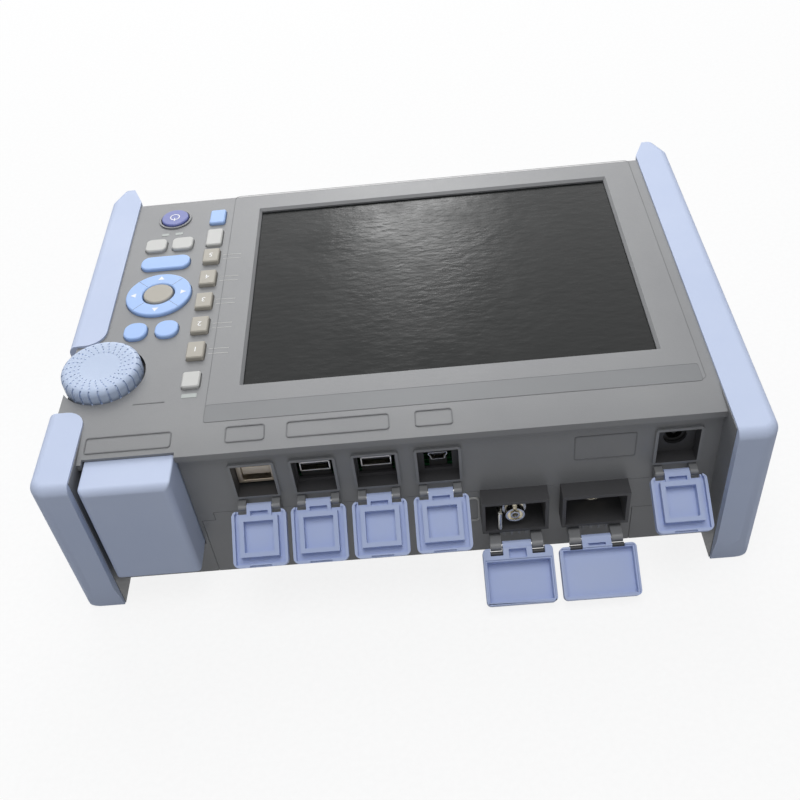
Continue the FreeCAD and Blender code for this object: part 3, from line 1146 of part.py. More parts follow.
def build_jacks():
    face = f"{PANEL} + port_depth + fit"
    lip = "main_board_top + 1.5"
    node("lan_jack", socket_block(
        "lan", "lan_x", "lan_width", ("main_board_top", "main_board_top + lan_height"),
        ("lan_mouth_width", lip, f"{lip} + lan_mouth_height"), "lan_length"))
    for number, x in (("1", "usb_first_x"), ("2", "usb_second_x")):
        tongue = block(f"usb_tongue_{number}", around(x, "usb_width / 2 - 1.2"),
                       (f"{face} + 0.6", f"{face} + socket_depth + 0.5"),
                       ("usb_axis + 0.2", "usb_axis + 1.9"))
        node(f"usb_a_jack_{number}", socket_block(
            f"usb_{number}", x, "usb_width", ("main_board_top", "usb_axis + usb_height / 2"),
            ("usb_width - 2 * usb_shell", "usb_axis - usb_height / 2 + usb_shell",
             "usb_axis + usb_height / 2 - usb_shell"),
            "usb_length", tongue))
    tongue = block("mini_tongue", around("usb_mini_x", "mini_width / 2 - 1.6"),
                   (f"{face} + 0.6", f"{face} + socket_depth + 0.5"),
                   ("usb_axis - 0.3", "usb_axis + 0.5"))
    node("usb_mini_jack", socket_block(
        "mini", "usb_mini_x", "mini_width", ("main_board_top", "usb_axis + mini_height / 2"),
        ("mini_width - 2 * usb_shell", "usb_axis - mini_height / 2 + usb_shell",
         "usb_axis + mini_height / 2 - usb_shell"),
        "mini_length + 1", tongue))
    rear = f"{PANEL} + port_depth + port_back + fit"
    housing = block("dc_housing", around("dc_x", "dc_radius + 0.8"), (rear, f"{rear} + dc_length"),
                    ("main_board_top", "dc_axis + dc_radius + 0.8"))
    barrel = rod("dc_barrel", ("dc_x", f"{rear} - 1", "dc_axis"), "dc_bore", "dc_length - 1", "y")
    pin = rod("dc_centre_pin", ("dc_x", f"{rear} + 0.5", "dc_axis"), "dc_pin", "dc_length - 1", "y")
    node("dc_jack", union("dc_jack_blank", [cut("dc_hollow", housing, [barrel]), pin]))


def build_covers():
    small = build_small_cover()
    for name, x, droop in (("cover_lan", "lan_x", "droop_lan"),
                           ("cover_usb_1", "usb_first_x", "droop_usb_first"),
                           ("cover_usb_2", "usb_second_x", "droop_usb_second"),
                           ("cover_usb_mini", "usb_mini_x", "droop_usb_mini"),
                           ("cover_dc", "dc_x", "droop_dc")):
        hang(name, small, x, SMALL_HINGE_Y, "hinge_height", droop)
    for name, x, kind in (("cover_optical_1", "shroud_first_x", "cap_first"),
                          ("cover_optical_2", "shroud_second_x", "cap_second")):
        hang(name, build_large_cover(kind), x, BIG_HINGE_Y, "big_hinge_height", "big_droop")
    small_pins = [rod("small_pin", (f"{x} - lug_gap / 2 - lug_width", SMALL_HINGE_Y, "hinge_height"),
                      "pin_radius", "lug_gap + 2 * lug_width", "x") for x in PORTS]
    node("small_hinge_pins", gather("small_pin_group", small_pins))
    large_pins = [rod("large_pin", (f"{x} - arm_gap / 2 - arm_width", BIG_HINGE_Y, "big_hinge_height"),
                      "big_pin_radius", "arm_gap + 2 * arm_width", "x") for x in SHROUDS]
    node("large_hinge_pins", gather("large_pin_group", large_pins))


def build_controls():
    for name, x, y, width, length, corner, rise in KEYS:
        blank = key_blank(name, x, y, width, length, corner, rise)
        node(name, soften(name + "_body", blank, (("Chamfer", "key_bevel", level_top),)))
    for name, x, y, radius, rise in ROUND_KEYS:
        blank = round_key_blank(name, x, y, radius, rise)
        node(name, soften(name + "_body", blank, (("Chamfer", "key_bevel", level_top),)))
    node("direction_ring", soften("ring_body", build_ring(), (("Chamfer", "key_bevel", level_top),)))
    bottom = f"{PLATE_UNDER} - key_gap - flange_thickness"
    foot = f"{bottom} - gimbal_drop - gimbal"
    collar = rod("gimbal_outer", ("pad_x", "ring_row", foot), "gimbal_radius", "gimbal")
    hole = rod("gimbal_bore", ("pad_x", "ring_row", f"{foot} - 1"), "ring_bore + 0.2", "gimbal + 2")
    node("direction_gimbal", cut("gimbal_blank", collar, [hole]))
    node("jog_knob", build_knob())


build_all()
doc.recompute()

for item in doc.Objects:
    if "Invalid" in item.State or "Error" in item.State:
        raise RuntimeError(f"{item.Label} failed to build: {item.State}")
for piece in nodes:
    if piece.Shape.isNull() or not piece.Shape.isValid():
        raise RuntimeError(f"{piece.Label} has no valid shape")
    piece.Shape.exportStep(f"parts/{piece.Label}.step")
    print(f"{piece.Label:22s} {len(piece.Shape.Solids):2d} solids {piece.Shape.Volume:12.1f} mm3")
print(len(nodes), "nodes")
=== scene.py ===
# %% [markdown]
# # A hand-held reflectometer, dressed for its picture
# The solids of the instrument come ready made: every shell, key, cover and socket stands in its
# true place, in metres.  This lesson gives each surface its real finish, softens the moulded edges,
# and adds the small forms that solids leave out.  The load line comes first.

# %% Load the solids
import bpy
import bmesh
import json
import math
from mathutils import Matrix, Vector


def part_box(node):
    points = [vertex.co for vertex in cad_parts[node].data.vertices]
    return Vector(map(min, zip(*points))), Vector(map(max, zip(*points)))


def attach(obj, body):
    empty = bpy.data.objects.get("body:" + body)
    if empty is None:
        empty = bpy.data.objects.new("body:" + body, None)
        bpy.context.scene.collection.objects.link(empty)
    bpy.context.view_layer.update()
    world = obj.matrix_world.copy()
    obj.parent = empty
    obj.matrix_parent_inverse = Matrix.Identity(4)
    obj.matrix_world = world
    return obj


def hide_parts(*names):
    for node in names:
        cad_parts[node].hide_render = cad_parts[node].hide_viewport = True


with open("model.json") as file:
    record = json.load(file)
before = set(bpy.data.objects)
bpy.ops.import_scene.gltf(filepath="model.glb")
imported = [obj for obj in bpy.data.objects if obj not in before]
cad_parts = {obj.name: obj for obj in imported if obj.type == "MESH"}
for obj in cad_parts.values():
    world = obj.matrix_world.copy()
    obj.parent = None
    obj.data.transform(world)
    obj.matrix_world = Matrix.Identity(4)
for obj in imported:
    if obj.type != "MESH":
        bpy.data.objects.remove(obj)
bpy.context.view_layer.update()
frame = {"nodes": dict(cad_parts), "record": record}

MM = 0.001
scene = bpy.context.scene
BODY_OF = {node: body for body, nodes in frame["record"]["behaviour"]["bodies"].items() for node in nodes}
SLOT_OF = {entry["node"]: entry["material_slot"] for entry in frame["record"]["subparts"]}

# %% [markdown]
# ## Colours and material nodes
# A screen colour is written as six hex digits, but Blender mixes light in linear numbers, so one
# function turns the first into the second.  Another function adds a single node to a material: its
# settings are attributes, and its inputs are either plain values or the outputs of earlier nodes.

# %% Two helpers for every material
def linear(hex_colour):
    """A hex colour as the linear red, green, blue and alpha that Blender mixes with."""
    parts = [int(hex_colour[index:index + 2], 16) / 255 for index in (1, 3, 5)]
    curved = [part / 12.92 if part <= 0.04045 else ((part + 0.055) / 1.055) ** 2.4 for part in parts]
    return (*curved, 1.0)


def add(material, kind, inputs=None, **settings):
    """Add one node to a material or a world, set it up and link it."""
    node = material.node_tree.nodes.new("ShaderNode" + kind)
    for name, value in settings.items():
        setattr(node, name, value)
    for name, value in (inputs or {}).items():
        if isinstance(value, bpy.types.NodeSocket):
            material.node_tree.links.new(value, node.inputs[name])
        else:
            node.inputs[name].default_value = value
    return node


def start(name):
    """An empty node material."""
    material = bpy.data.materials.new(name)
    material.use_nodes = True
    material.node_tree.nodes.clear()
    return material


def finish_with(material, shader):
    """Link a shader to the material's output."""
    add(material, "OutputMaterial", {"Surface": shader.outputs[0]})
    return material


# %% [markdown]
# ## Moulded plastics and rubbers
# Most of the instrument is injection moulded.  The mould is spark eroded, so the plastic leaves it
# with a fine grain of about half a millimetre, which breaks up the highlight.  The colour wanders a
# little where hands rub it.  A large soft noise gives that wander and a small one gives the grain.
# The grain is drawn a little coarser than life, so that it shows from arm's length.

# %% Moulded surfaces
def moulded(name, hex_colour, worn_hex, roughness, grain_mm=0.6, grain_depth=0.06, gloss=0.5):
    """Plastic or rubber with a fine grain and a slight wander in its colour."""
    material = start(name)
    place = add(material, "TexCoord").outputs["Object"]
    wander = add(material, "TexNoise", {"Vector": place, "Scale": 18.0, "Detail": 4.0, "Roughness": 0.6})
    grain = add(material, "TexNoise", {"Vector": place, "Scale": 1 / (grain_mm * MM), "Detail": 3.0})
    worn = add(material, "MapRange", {"Value": wander.outputs[0], "From Min": 0.35, "From Max": 0.75})
    colour = add(material, "MixRGB", {"Fac": worn.outputs[0], "Color1": linear(hex_colour),
                                      "Color2": linear(worn_hex)})
    dusting = add(material, "MapRange", {"Value": grain.outputs[0], "From Min": 0.3, "From Max": 0.7,
                                         "To Min": roughness - 0.06, "To Max": roughness + 0.06})
    bump = add(material, "Bump", {"Height": grain.outputs[0], "Strength": 0.5, "Distance": grain_depth * MM})
    return finish_with(material, add(material, "BsdfPrincipled", {
        "Base Color": colour.outputs[0], "Roughness": dusting.outputs[0], "Normal": bump.outputs[0],
        "Specular IOR Level": gloss}))


ABS_CASE = moulded("abs_spark_eroded_grey", "#7a7b7d", "#818283", 0.46, gloss=0.6)
# Charcoal plastic of the dark shells, the shrouds and the hinge bars; in the port recesses and the knob well
# it is painted shade.
ABS_DARK = moulded("abs_spark_eroded_charcoal_and_painted_shade", "#39393b", "#404042", 0.55)
# Darker grey for raised outlines and the ring's grooves: painted shade, for the shadow along their edges.
# The knob's bracket line is print in the same grey.
ABS_LINE = moulded("abs_dark_line_print_and_painted_shade", "#6b6c6e", "#727375", 0.6)
# Pale grey: painted highlight, for the light that the soft keys' guide lines and the release frame's rim
# catch.
ABS_PAINTED_HIGHLIGHT = moulded("abs_grey_painted_highlight", "#b9b9b6", "#c1c1be", 0.5)
LABEL_FILM = moulded("polycarbonate_label_film", "#717375", "#76787a", 0.4, 0.4, 0.02, 0.45)
ELASTOMER_BUMPER = moulded("elastomer_bumper_pale_blue", "#c4d0ea", "#cbd6ee", 0.62, 0.5, 0.04, 0.35)
ELASTOMER_COVER = moulded("elastomer_cover_lavender_blue", "#b1bfe3", "#b8c5e6", 0.55, 0.5, 0.03, 0.4)
KNOB_PLASTIC = moulded("abs_knob_pale_blue", "#b9c8e2", "#c1cfe6", 0.5, 0.5, 0.03)
SILICONE_BLUE = moulded("silicone_key_sky_blue", "#a3c2f4", "#a9c7f6", 0.5, 0.4, 0.02)
SILICONE_WHITE = moulded("silicone_key_warm_white", "#c3c3c0", "#cacac7", 0.5, 0.4, 0.02)
SILICONE_TAUPE = moulded("silicone_key_taupe", "#a8a398", "#afaa9f", 0.5, 0.4, 0.02)
SILICONE_MAT = moulded("silicone_contact_mat", "#8d8d8b", "#929290", 0.6)
POWER_VIOLET = moulded("silicone_key_violet_blue", "#6b73b0", "#727ab5", 0.45, 0.4, 0.02)
INK_WHITE = moulded("printed_ink_white", "#f2f3f4", "#f6f6f6", 0.5, 0.4, 0.01)
NYLON_BLACK = moulded("glass_filled_nylon_black", "#141414", "#1a1a1a", 0.45, 0.4, 0.03)
SHRINK_WRAP = moulded("battery_shrink_wrap", "#23252b", "#2a2c33", 0.35, 1.5, 0.05)


# %% [markdown]
# ## Metals
# The sockets are folded from tin-plated sheet, the adapters are turned brass with nickel plating, and
# the pins are ground steel.  All of them are real metals, so the colour sits in the reflection and the
# roughness decides how sharp it is.  A noise stretched along one axis draws the rolling or turning
# marks, about a tenth of a millimetre apart and drawn wider so that they show.

# %% Metal surfaces
def metal(name, hex_colour, roughness, marks_mm=(0.3, 3.0, 3.0), depth=0.02):
    """Bare or plated metal with fine directional marks."""
    material = start(name)
    place = add(material, "TexCoord").outputs["Object"]
    stretched = add(material, "Mapping", {"Vector": place,
                                          "Scale": tuple(1 / (size * MM) for size in marks_mm)})
    marks = add(material, "TexNoise", {"Vector": stretched.outputs[0], "Scale": 1.0, "Detail": 3.0})
    dull = add(material, "MapRange", {"Value": marks.outputs[0], "To Min": roughness - 0.08,
                                      "To Max": roughness + 0.08})
    bump = add(material, "Bump", {"Height": marks.outputs[0], "Strength": 0.4, "Distance": depth * MM})
    return finish_with(material, add(material, "BsdfPrincipled", {
        "Base Color": linear(hex_colour), "Metallic": 1.0, "Roughness": dull.outputs[0],
        "Normal": bump.outputs[0]}))


TIN_SHEET = metal("tin_plated_steel_sheet", "#d9d4c8", 0.3)
# A brighter tin over the front edge of the host sockets: painted highlight.
TIN_PAINTED_HIGHLIGHT = metal("tin_plated_lip_painted_highlight", "#f1eee6", 0.4)
TIN_WARM = metal("tin_plated_sheet_warm", "#cfc4b2", 0.42)
NICKEL = metal("nickel_plated_brass", "#dcd8cd", 0.22, (2.0, 0.25, 2.0))
STEEL_PIN = metal("ground_steel", "#c8c8c6", 0.28, (0.4, 4.0, 4.0))
ZINC = metal("die_cast_zinc", "#b4b4b2", 0.45, (1.0, 1.0, 1.0))
ALUMINIUM = metal("bead_blasted_aluminium", "#c9cacb", 0.5, (0.5, 0.5, 0.5))

# %% [markdown]
# ## The circuit boards, the lamps and the display
# A board is glass cloth under green solder resist: a grid of copper tracks shows through as paler
# stripes.  The lamps are clear acrylic light pipes.  The display has an anti-glare film, whose tiny
# pits spread every reflection into a soft cloud, so its bump is what makes it look real.

# %% Boards, light pipes and the display
def circuit_board():
    material = start("fr4_green_solder_resist")
    place = add(material, "TexCoord").outputs["Object"]
    tracks = add(material, "TexBrick", {"Vector": place, "Scale": 90.0, "Mortar Size": 0.03,
                                        "Color1": linear("#14502c"), "Color2": linear("#18582f"),
                                        "Mortar": linear("#3f8a52")})
    return finish_with(material, add(material, "BsdfPrincipled", {
        "Base Color": tracks.outputs[0], "Roughness": 0.35, "Coat Weight": 0.4}))


def light_pipe():
    material = start("clear_acrylic_light_pipe")
    place = add(material, "TexCoord").outputs["Object"]
    haze = add(material, "TexNoise", {"Vector": place, "Scale": 900.0})
    dull = add(material, "MapRange", {"Value": haze.outputs[0], "To Min": 0.12, "To Max": 0.3})
    return finish_with(material, add(material, "BsdfPrincipled", {
        "Base Color": linear("#a4aaa7"), "Roughness": dull.outputs[0]}))


def display_film(name, hex_colour, roughness, pits_mm, gloss):
    """A film whose pits blur what it mirrors, and whose shallow waves break that into patches."""
    material = start(name)
    place = add(material, "TexCoord").outputs["Object"]
    pits = add(material, "TexNoise", {"Vector": place, "Scale": 1 / (pits_mm * MM), "Detail": 5.0,
                                      "Roughness": 0.7})
    smear = add(material, "TexNoise", {"Vector": place, "Scale": 45.0, "Detail": 6.0, "Roughness": 0.65})
    dull = add(material, "MapRange", {"Value": smear.outputs[0], "From Min": 0.3, "From Max": 0.7,
                                      "To Min": roughness - 0.08, "To Max": roughness + 0.1})
    long = add(material, "Mapping", {"Vector": place, "Scale": (0.5, 1.0, 1.0)})
    waves = add(material, "TexNoise", {"Vector": long.outputs[0], "Scale": 320.0, "Detail": 2.0})
    swell = add(material, "Bump", {"Height": waves.outputs[0], "Strength": 1.0, "Distance": 0.12 * MM})
    bump = add(material, "Bump", {"Height": pits.outputs[0], "Strength": 0.6, "Distance": 0.03 * MM,
                                  "Normal": swell.outputs[0]})
    return finish_with(material, add(material, "BsdfPrincipled", {
        "Base Color": linear(hex_colour), "Roughness": dull.outputs[0], "Normal": bump.outputs[0],
        "Specular IOR Level": gloss}))


FR4 = circuit_board()
LIGHT_PIPE = light_pipe()
ANTI_GLARE = display_film("anti_glare_acrylic_over_dark_panel", "#161818", 0.2, 1.2, 0.09)
PANEL_BLACK = display_film("liquid_crystal_panel_black", "#0c0d0e", 0.25, 2.0, 0.4)

# %% [markdown]
# ## Painting the solids
# Each solid keeps its own shape unless a finer piece replaces it later.  A table by material slot
# says which finish every one of them wears.

# %% Finish of each material slot
FINISH = {
    "grey_shell": ABS_CASE, "dark_shell": ABS_DARK, "soft_bumper": ELASTOMER_BUMPER,
    "screen_window": ANTI_GLARE, "display_module": PANEL_BLACK, "steel_sheet": ALUMINIUM,
    "circuit_board": FR4, "silicone_mat": SILICONE_MAT, "zinc_body": ZINC, "jack_shell": TIN_SHEET,
    "jack_black": NYLON_BLACK, "nickel_metal": NICKEL, "module_can": ALUMINIUM,
    "battery_wrap": SHRINK_WRAP, "screw_steel": STEEL_PIN, "pin_steel": STEEL_PIN,
    "lens_clear": LIGHT_PIPE, "cover_rubber": ELASTOMER_COVER, "cap_plastic": ELASTOMER_COVER,
    "knob_plastic": KNOB_PLASTIC, "key_blue": SILICONE_BLUE, "key_white": SILICONE_WHITE,
    "key_grey": SILICONE_TAUPE, "key_taupe": SILICONE_TAUPE,
}
SPECIAL = {"power_button": POWER_VIOLET, "key_average": SILICONE_WHITE, "key_realtime": SILICONE_WHITE,
           "lan_jack": TIN_WARM}


def finish_of(node):
    return SPECIAL.get(node, FINISH[SLOT_OF[node]])


for node, solid in frame["nodes"].items():
    solid.data.materials.clear()
    solid.data.materials.append(finish_of(node))
print("painted", len(frame["nodes"]), "solids with", len(FINISH), "finishes")

# %% [markdown]
# ## The camera and the studio
# The instrument is seen from its connector edge, from about half a metre, looking down at forty-five
# degrees.  One large soft lamp stands beyond it and one hangs overhead, and they make the flat faces
# bright.  A weak one fills the near side, so the connector panel stays darker, and a small one leaves
# a glint on the display.  The floor is white to the camera and to mirrors, but only throws a modest
# light back up.

# %% Camera
camera_data = bpy.data.cameras.new("studio_camera")
camera_data.sensor_width = 36.0
camera_data.lens = 45.42
camera_data.shift_x = 0.0012
camera_data.shift_y = 0.0398
camera = bpy.data.objects.new("studio_camera", camera_data)
camera.location = Vector((16.3, -362.0, 358.0)) * MM
camera.rotation_euler = [math.radians(angle) for angle in (44.315, 4.980, -1.827)]
scene.collection.objects.link(camera)
scene.camera = camera
scene.view_settings.view_transform = "Standard"


# %% Lamps, world and floor
def seen_directly(material):
    """One for the rays of the camera and of mirrors, nought for the rays that light other things."""
    rays = add(material, "LightPath").outputs
    mirrored = add(material, "Math", {0: rays["Is Glossy Ray"], 1: rays["Is Transmission Ray"]},
                   operation="MAXIMUM")
    return add(material, "Math", {0: rays["Is Camera Ray"], 1: mirrored.outputs[0]},
               operation="MAXIMUM").outputs[0]


def soft_lamp(name, place, target, size, watts):
    """A round white lamp that looks at a target; places and size are in metres."""
    lamp = bpy.data.lights.new(name, "AREA")
    lamp.shape = "DISK"
    lamp.size = size
    lamp.energy = watts
    holder = bpy.data.objects.new(name, lamp)
    holder.location = place
    holder.rotation_euler = (Vector(target) - Vector(place)).to_track_quat("-Z", "Y").to_euler()
    scene.collection.objects.link(holder)


soft_lamp("far_softbox", (-0.15, 1.32, 0.98), (0.0, 0.0, 0.05), 1.8, 17)
soft_lamp("overhead_softbox", (0.0, -0.35, 1.65), (0.0, 0.0, 0.05), 1.2, 13)
soft_lamp("near_side_fill", (0.1, -1.5, 0.6), (0.0, 0.0, 0.03), 1.0, 1.5)
soft_lamp("window_glint", (0.0, 1.25, 0.81), (0.0, 0.05, 0.08), 0.24, 2.2)

world = bpy.data.worlds.new("studio")
world.use_nodes = True
world.node_tree.nodes.clear()
seen = seen_directly(world)
ambient = add(world, "Background", {"Color": linear("#e9edf5"), "Strength": 0.22})
white = add(world, "Background", {"Color": (1, 1, 1, 1), "Strength": 1.0})
chooser = add(world, "MixShader", {0: seen, 1: ambient.outputs[0], 2: white.outputs[0]})
add(world, "OutputWorld", {"Surface": chooser.outputs[0]})
scene.world = world

bpy.ops.object.select_all(action="DESELECT")
bpy.ops.mesh.primitive_plane_add(size=40.0, location=(0, 0, -0.0002))
floor = bpy.context.object
floor.name = "studio_floor"
paper = start("white_paper_floor")
direct = seen_directly(paper)
grain = add(paper, "TexNoise", {"Vector": add(paper, "TexCoord").outputs["Object"], "Scale": 400.0})
tint = add(paper, "MixRGB", {"Fac": grain.outputs[0], "Color1": linear("#fbfbfb"),
                             "Color2": linear("#ffffff")})
dim = add(paper, "BsdfDiffuse", {"Color": linear("#9a9a9a")})
lit = add(paper, "BsdfDiffuse", {"Color": tint.outputs[0]})
glow = add(paper, "Emission", {"Color": tint.outputs[0], "Strength": 1.0})
bright = add(paper, "MixShader", {0: 0.88, 1: lit.outputs[0], 2: glow.outputs[0]})
finish_with(paper, add(paper, "MixShader", {0: direct, 1: dim.outputs[0], 2: bright.outputs[0]}))
floor.data.materials.append(paper)

# %% [markdown]
# ## Softening the moulded edges
# No moulded part has a knife edge: the mould's corners have a radius of a few tenths of a millimetre,
# and that radius catches a thin line of light.  A copy of each solid in the table is welded, its flat
# faces are joined, and a small bevel runs along every sharp edge.  The copy then stands in for the
# solid.  A few edges are rounded more widely first.  Last, the walls of the port recesses and of the
# knob well get the charcoal finish as painted shade, and the shrouds get it as their own plastic.

# %% Finished copies of the solids
def ready():
    bpy.ops.object.select_all(action="DESELECT")


def take_up(piece, name, finish, body):
    """Give a new piece its name, finish and body, with its place kept in its mesh."""
    ready()
    piece.select_set(True)
    bpy.context.view_layer.objects.active = piece
    bpy.ops.object.transform_apply(location=True, rotation=True, scale=True)
    piece.name = name
    piece.data.name = name
    piece.data.materials.clear()
    piece.data.materials.append(finish)
    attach(piece, body)
    return piece


def weld(piece):
    """Join a copied mesh's loose triangles, and its flat faces."""
    bpy.context.view_layer.objects.active = piece
    piece.select_set(True)
    bpy.ops.object.mode_set(mode="EDIT")
    bpy.ops.mesh.select_all(action="SELECT")
    bpy.ops.mesh.remove_doubles(threshold=0.002 * MM)
    bpy.ops.mesh.dissolve_limited(angle_limit=math.radians(1.0))
    bpy.ops.object.mode_set(mode="OBJECT")


def keep_creases(piece, area_mm2=60, crease_degrees=2):
    """Mark the folds between two large flat faces, so that neither face's light bleeds into the other."""
    bpy.ops.object.mode_set(mode="EDIT")
    bpy.ops.mesh.select_mode(type="EDGE")
    bpy.ops.mesh.select_all(action="DESELECT")
    shape = bmesh.from_edit_mesh(piece.data)
    for edge in shape.edges:
        large = len(edge.link_faces) == 2 and all(face.calc_area() > area_mm2 * MM * MM
                                                  for face in edge.link_faces)
        edge.select = large and edge.calc_face_angle() > math.radians(crease_degrees)
    bmesh.update_edit_mesh(piece.data)
    bpy.ops.mesh.mark_sharp()
    bpy.ops.object.mode_set(mode="OBJECT")


def soften(piece, width_mm, segments=2, sharp_degrees=28):
    """A small bevel along every sharp edge, and light that stays even on the flat faces."""
    ready()
    piece.select_set(True)
    bpy.context.view_layer.objects.active = piece
    bpy.ops.object.shade_smooth()
    bevel = piece.modifiers.new("edge_radius", "BEVEL")
    bevel.width = width_mm * MM
    bevel.segments = segments
    bevel.limit_method = "ANGLE"
    bevel.angle_limit = math.radians(sharp_degrees)
    bpy.ops.object.modifier_apply(modifier=bevel.name)
    keep_creases(piece)
    even = piece.modifiers.new("even_flats", "WEIGHTED_NORMAL")
    even.weight = 100
    even.keep_sharp = True
    bpy.ops.object.modifier_apply(modifier=even.name)


def round_edges(piece, chosen, radius_mm, segments=6):
    """Round the edges that a test of their two ends, in millimetres, chooses."""
    bpy.ops.object.mode_set(mode="EDIT")
    bpy.ops.mesh.select_mode(type="EDGE")
    bpy.ops.mesh.select_all(action="DESELECT")
    shape = bmesh.from_edit_mesh(piece.data)
    count = 0
    for edge in shape.edges:
        edge.select = chosen(*(vertex.co / MM for vertex in edge.verts))
        count += edge.select
    bmesh.update_edit_mesh(piece.data)
    bpy.ops.mesh.bevel(offset=radius_mm * MM, segments=segments, affect="EDGES", clamp_overlap=True)
    bpy.ops.object.mode_set(mode="OBJECT")
    print("rounded", count, "edges of", piece.name)


def repaint(piece, finish, chosen):
    """Give a second finish to the faces that a test of their centre, in millimetres, chooses."""
    piece.data.materials.append(finish)
    for face in piece.data.polygons:
        if chosen(face.center / MM):
            face.material_index = 1


def finished_copy(node, width_mm):
    """A welded and softened copy of a solid, which stands in for it."""
    copy = frame["nodes"][node].copy()
    copy.data = frame["nodes"][node].data.copy()
    copy.parent = None
    copy.matrix_world = Matrix.Identity(4)
    scene.collection.objects.link(copy)
    ready()
    weld(copy)
    for chosen, radius in ROUNDINGS.get(node, ()):
        round_edges(copy, chosen, radius)
    soften(copy, width_mm)
    take_up(copy, node + "_finished", finish_of(node), BODY_OF[node])
    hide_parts(node)
    return copy


EDGE_RADII_MM = {
    "front_case": 0.25, "rear_case": 0.25, "optical_unit_case": 0.3, "side_protector_left": 0.5,
    "side_protector_right": 0.5, "option_module": 0.8, "cover_lan": 0.22, "cover_usb_1": 0.22,
    "cover_usb_2": 0.22, "cover_usb_mini": 0.22, "cover_dc": 0.22, "cover_optical_1": 0.3,
    "cover_optical_2": 0.3, "power_button": 0.25, "key_help": 0.25, "key_escape": 0.25,
    "key_menu": 0.25, "key_average": 0.25, "key_realtime": 0.25, "key_setup": 0.25, "key_scale": 0.25,
    "key_file": 0.25, "key_enter": 0.25, "direction_ring": 0.3, "key_f1": 0.2, "key_f2": 0.2,
    "key_f3": 0.2, "key_f4": 0.2, "key_f5": 0.2,
}
# In millimetres: how far the jack stands behind the panel, how far the port frames stand before it,
# and how wide the left protector's strip is.
JACK_SETBACK, FRAME_RISE, STRIP_WIDTH = 5.2, 1.2, 16.2
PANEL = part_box("lan_jack")[0][1] - JACK_SETBACK * MM
FRAME_FACE = PANEL / MM - FRAME_RISE
STRIP_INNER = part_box("side_protector_left")[0][0] / MM + STRIP_WIDTH
KNOB_LOW, KNOB_HIGH = [Vector(corner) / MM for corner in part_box("jog_knob")]
KNOB_CENTRE = (KNOB_LOW + KNOB_HIGH) / 2


def upright_at(x, y):
    """A test for the upright edges at one place of the plan."""
    def chosen(one, other):
        here = all(abs(end.x - x) < 2.5 and abs(end.y - y) < 0.3 for end in (one, other))
        return here and abs(one.z - other.z) > 0.5
    return chosen


def frame_corner(one, other):
    """A test for the outer corners of the port frames, which run along Y from the panel."""
    along_y = abs(one.x - other.x) < 0.01 and abs(one.z - other.z) < 0.01
    return along_y and abs(min(one.y, other.y) - FRAME_FACE) < 0.02 and abs(one.y - other.y) < 1.3


def frame_rim(one, other):
    """A test for the rims of the port frames."""
    return abs(one.y - FRAME_FACE) < 0.02 and abs(other.y - FRAME_FACE) < 0.02


ROUNDINGS = {
    "side_protector_left": ((upright_at(STRIP_INNER, -62), 8), (upright_at(STRIP_INNER, -20), 9)),
    "front_case": ((frame_corner, 1.4), (frame_rim, 0.45)),
}
finished = {node: finished_copy(node, radius) for node, radius in EDGE_RADII_MM.items()}

# In millimetres: the limits within which painted shade darkens the recesses.
RECESS_HEIGHTS, RECESS_HALF_WIDTH, RECESS_DEPTH = (49, 67.5), 8.4, 6
KNOB_WELL_RADIUS, KNOB_WELL_WALL = 19, 3.2
SHROUD_FLOOR = 20.5
PORT_CENTRES = [(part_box(node)[0][0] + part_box(node)[1][0]) / 2 / MM
                for node in ("lan_jack", "usb_a_jack_1", "usb_a_jack_2", "usb_mini_jack", "dc_jack")]


def in_port_recess(centre):
    """A test for the walls inside the port frames."""
    deep = PANEL / MM + 0.3 < centre.y < PANEL / MM + RECESS_DEPTH
    level = RECESS_HEIGHTS[0] < centre.z < RECESS_HEIGHTS[1]
    return deep and level and any(abs(centre.x - middle) < RECESS_HALF_WIDTH for middle in PORT_CENTRES)


def in_knob_well(centre):
    """A test for the floor and the wall of the well round the knob."""
    reach = math.hypot(centre.x - KNOB_CENTRE.x, centre.y - KNOB_CENTRE.y)
    return reach < KNOB_WELL_RADIUS and centre.z < KNOB_LOW.z + KNOB_WELL_WALL


# Painted shade: the walls of the port recesses and of the knob well get the charcoal finish, to darken them.
repaint(finished["front_case"], ABS_DARK, lambda centre: in_port_recess(centre) or in_knob_well(centre))
repaint(finished["optical_unit_case"], ABS_DARK,
        lambda centre: centre.y < PANEL / MM - 0.2 and centre.z > SHROUD_FLOOR)
print("softened", len(finished), "copies")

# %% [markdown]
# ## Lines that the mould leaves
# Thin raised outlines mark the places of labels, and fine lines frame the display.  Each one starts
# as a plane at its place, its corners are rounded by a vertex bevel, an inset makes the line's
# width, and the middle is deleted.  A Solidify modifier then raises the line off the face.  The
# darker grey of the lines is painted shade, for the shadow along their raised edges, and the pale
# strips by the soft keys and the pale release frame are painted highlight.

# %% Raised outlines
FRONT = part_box("front_case")[1][2]
BAND_TILT = math.radians(6.06)
BAND_CREASE, LABEL_ROW = -74.0, -80.8
UPRIGHT = (math.radians(90), 0, 0)
LEVEL = (0, 0, 0)
ON_BAND = (BAND_TILT, 0, 0)


def thicken(piece, height_mm):
    raised = piece.modifiers.new("height", "SOLIDIFY")
    raised.thickness = height_mm * MM
    raised.offset = 1.0
    bpy.context.view_layer.objects.active = piece
    bpy.ops.object.modifier_apply(modifier=raised.name)


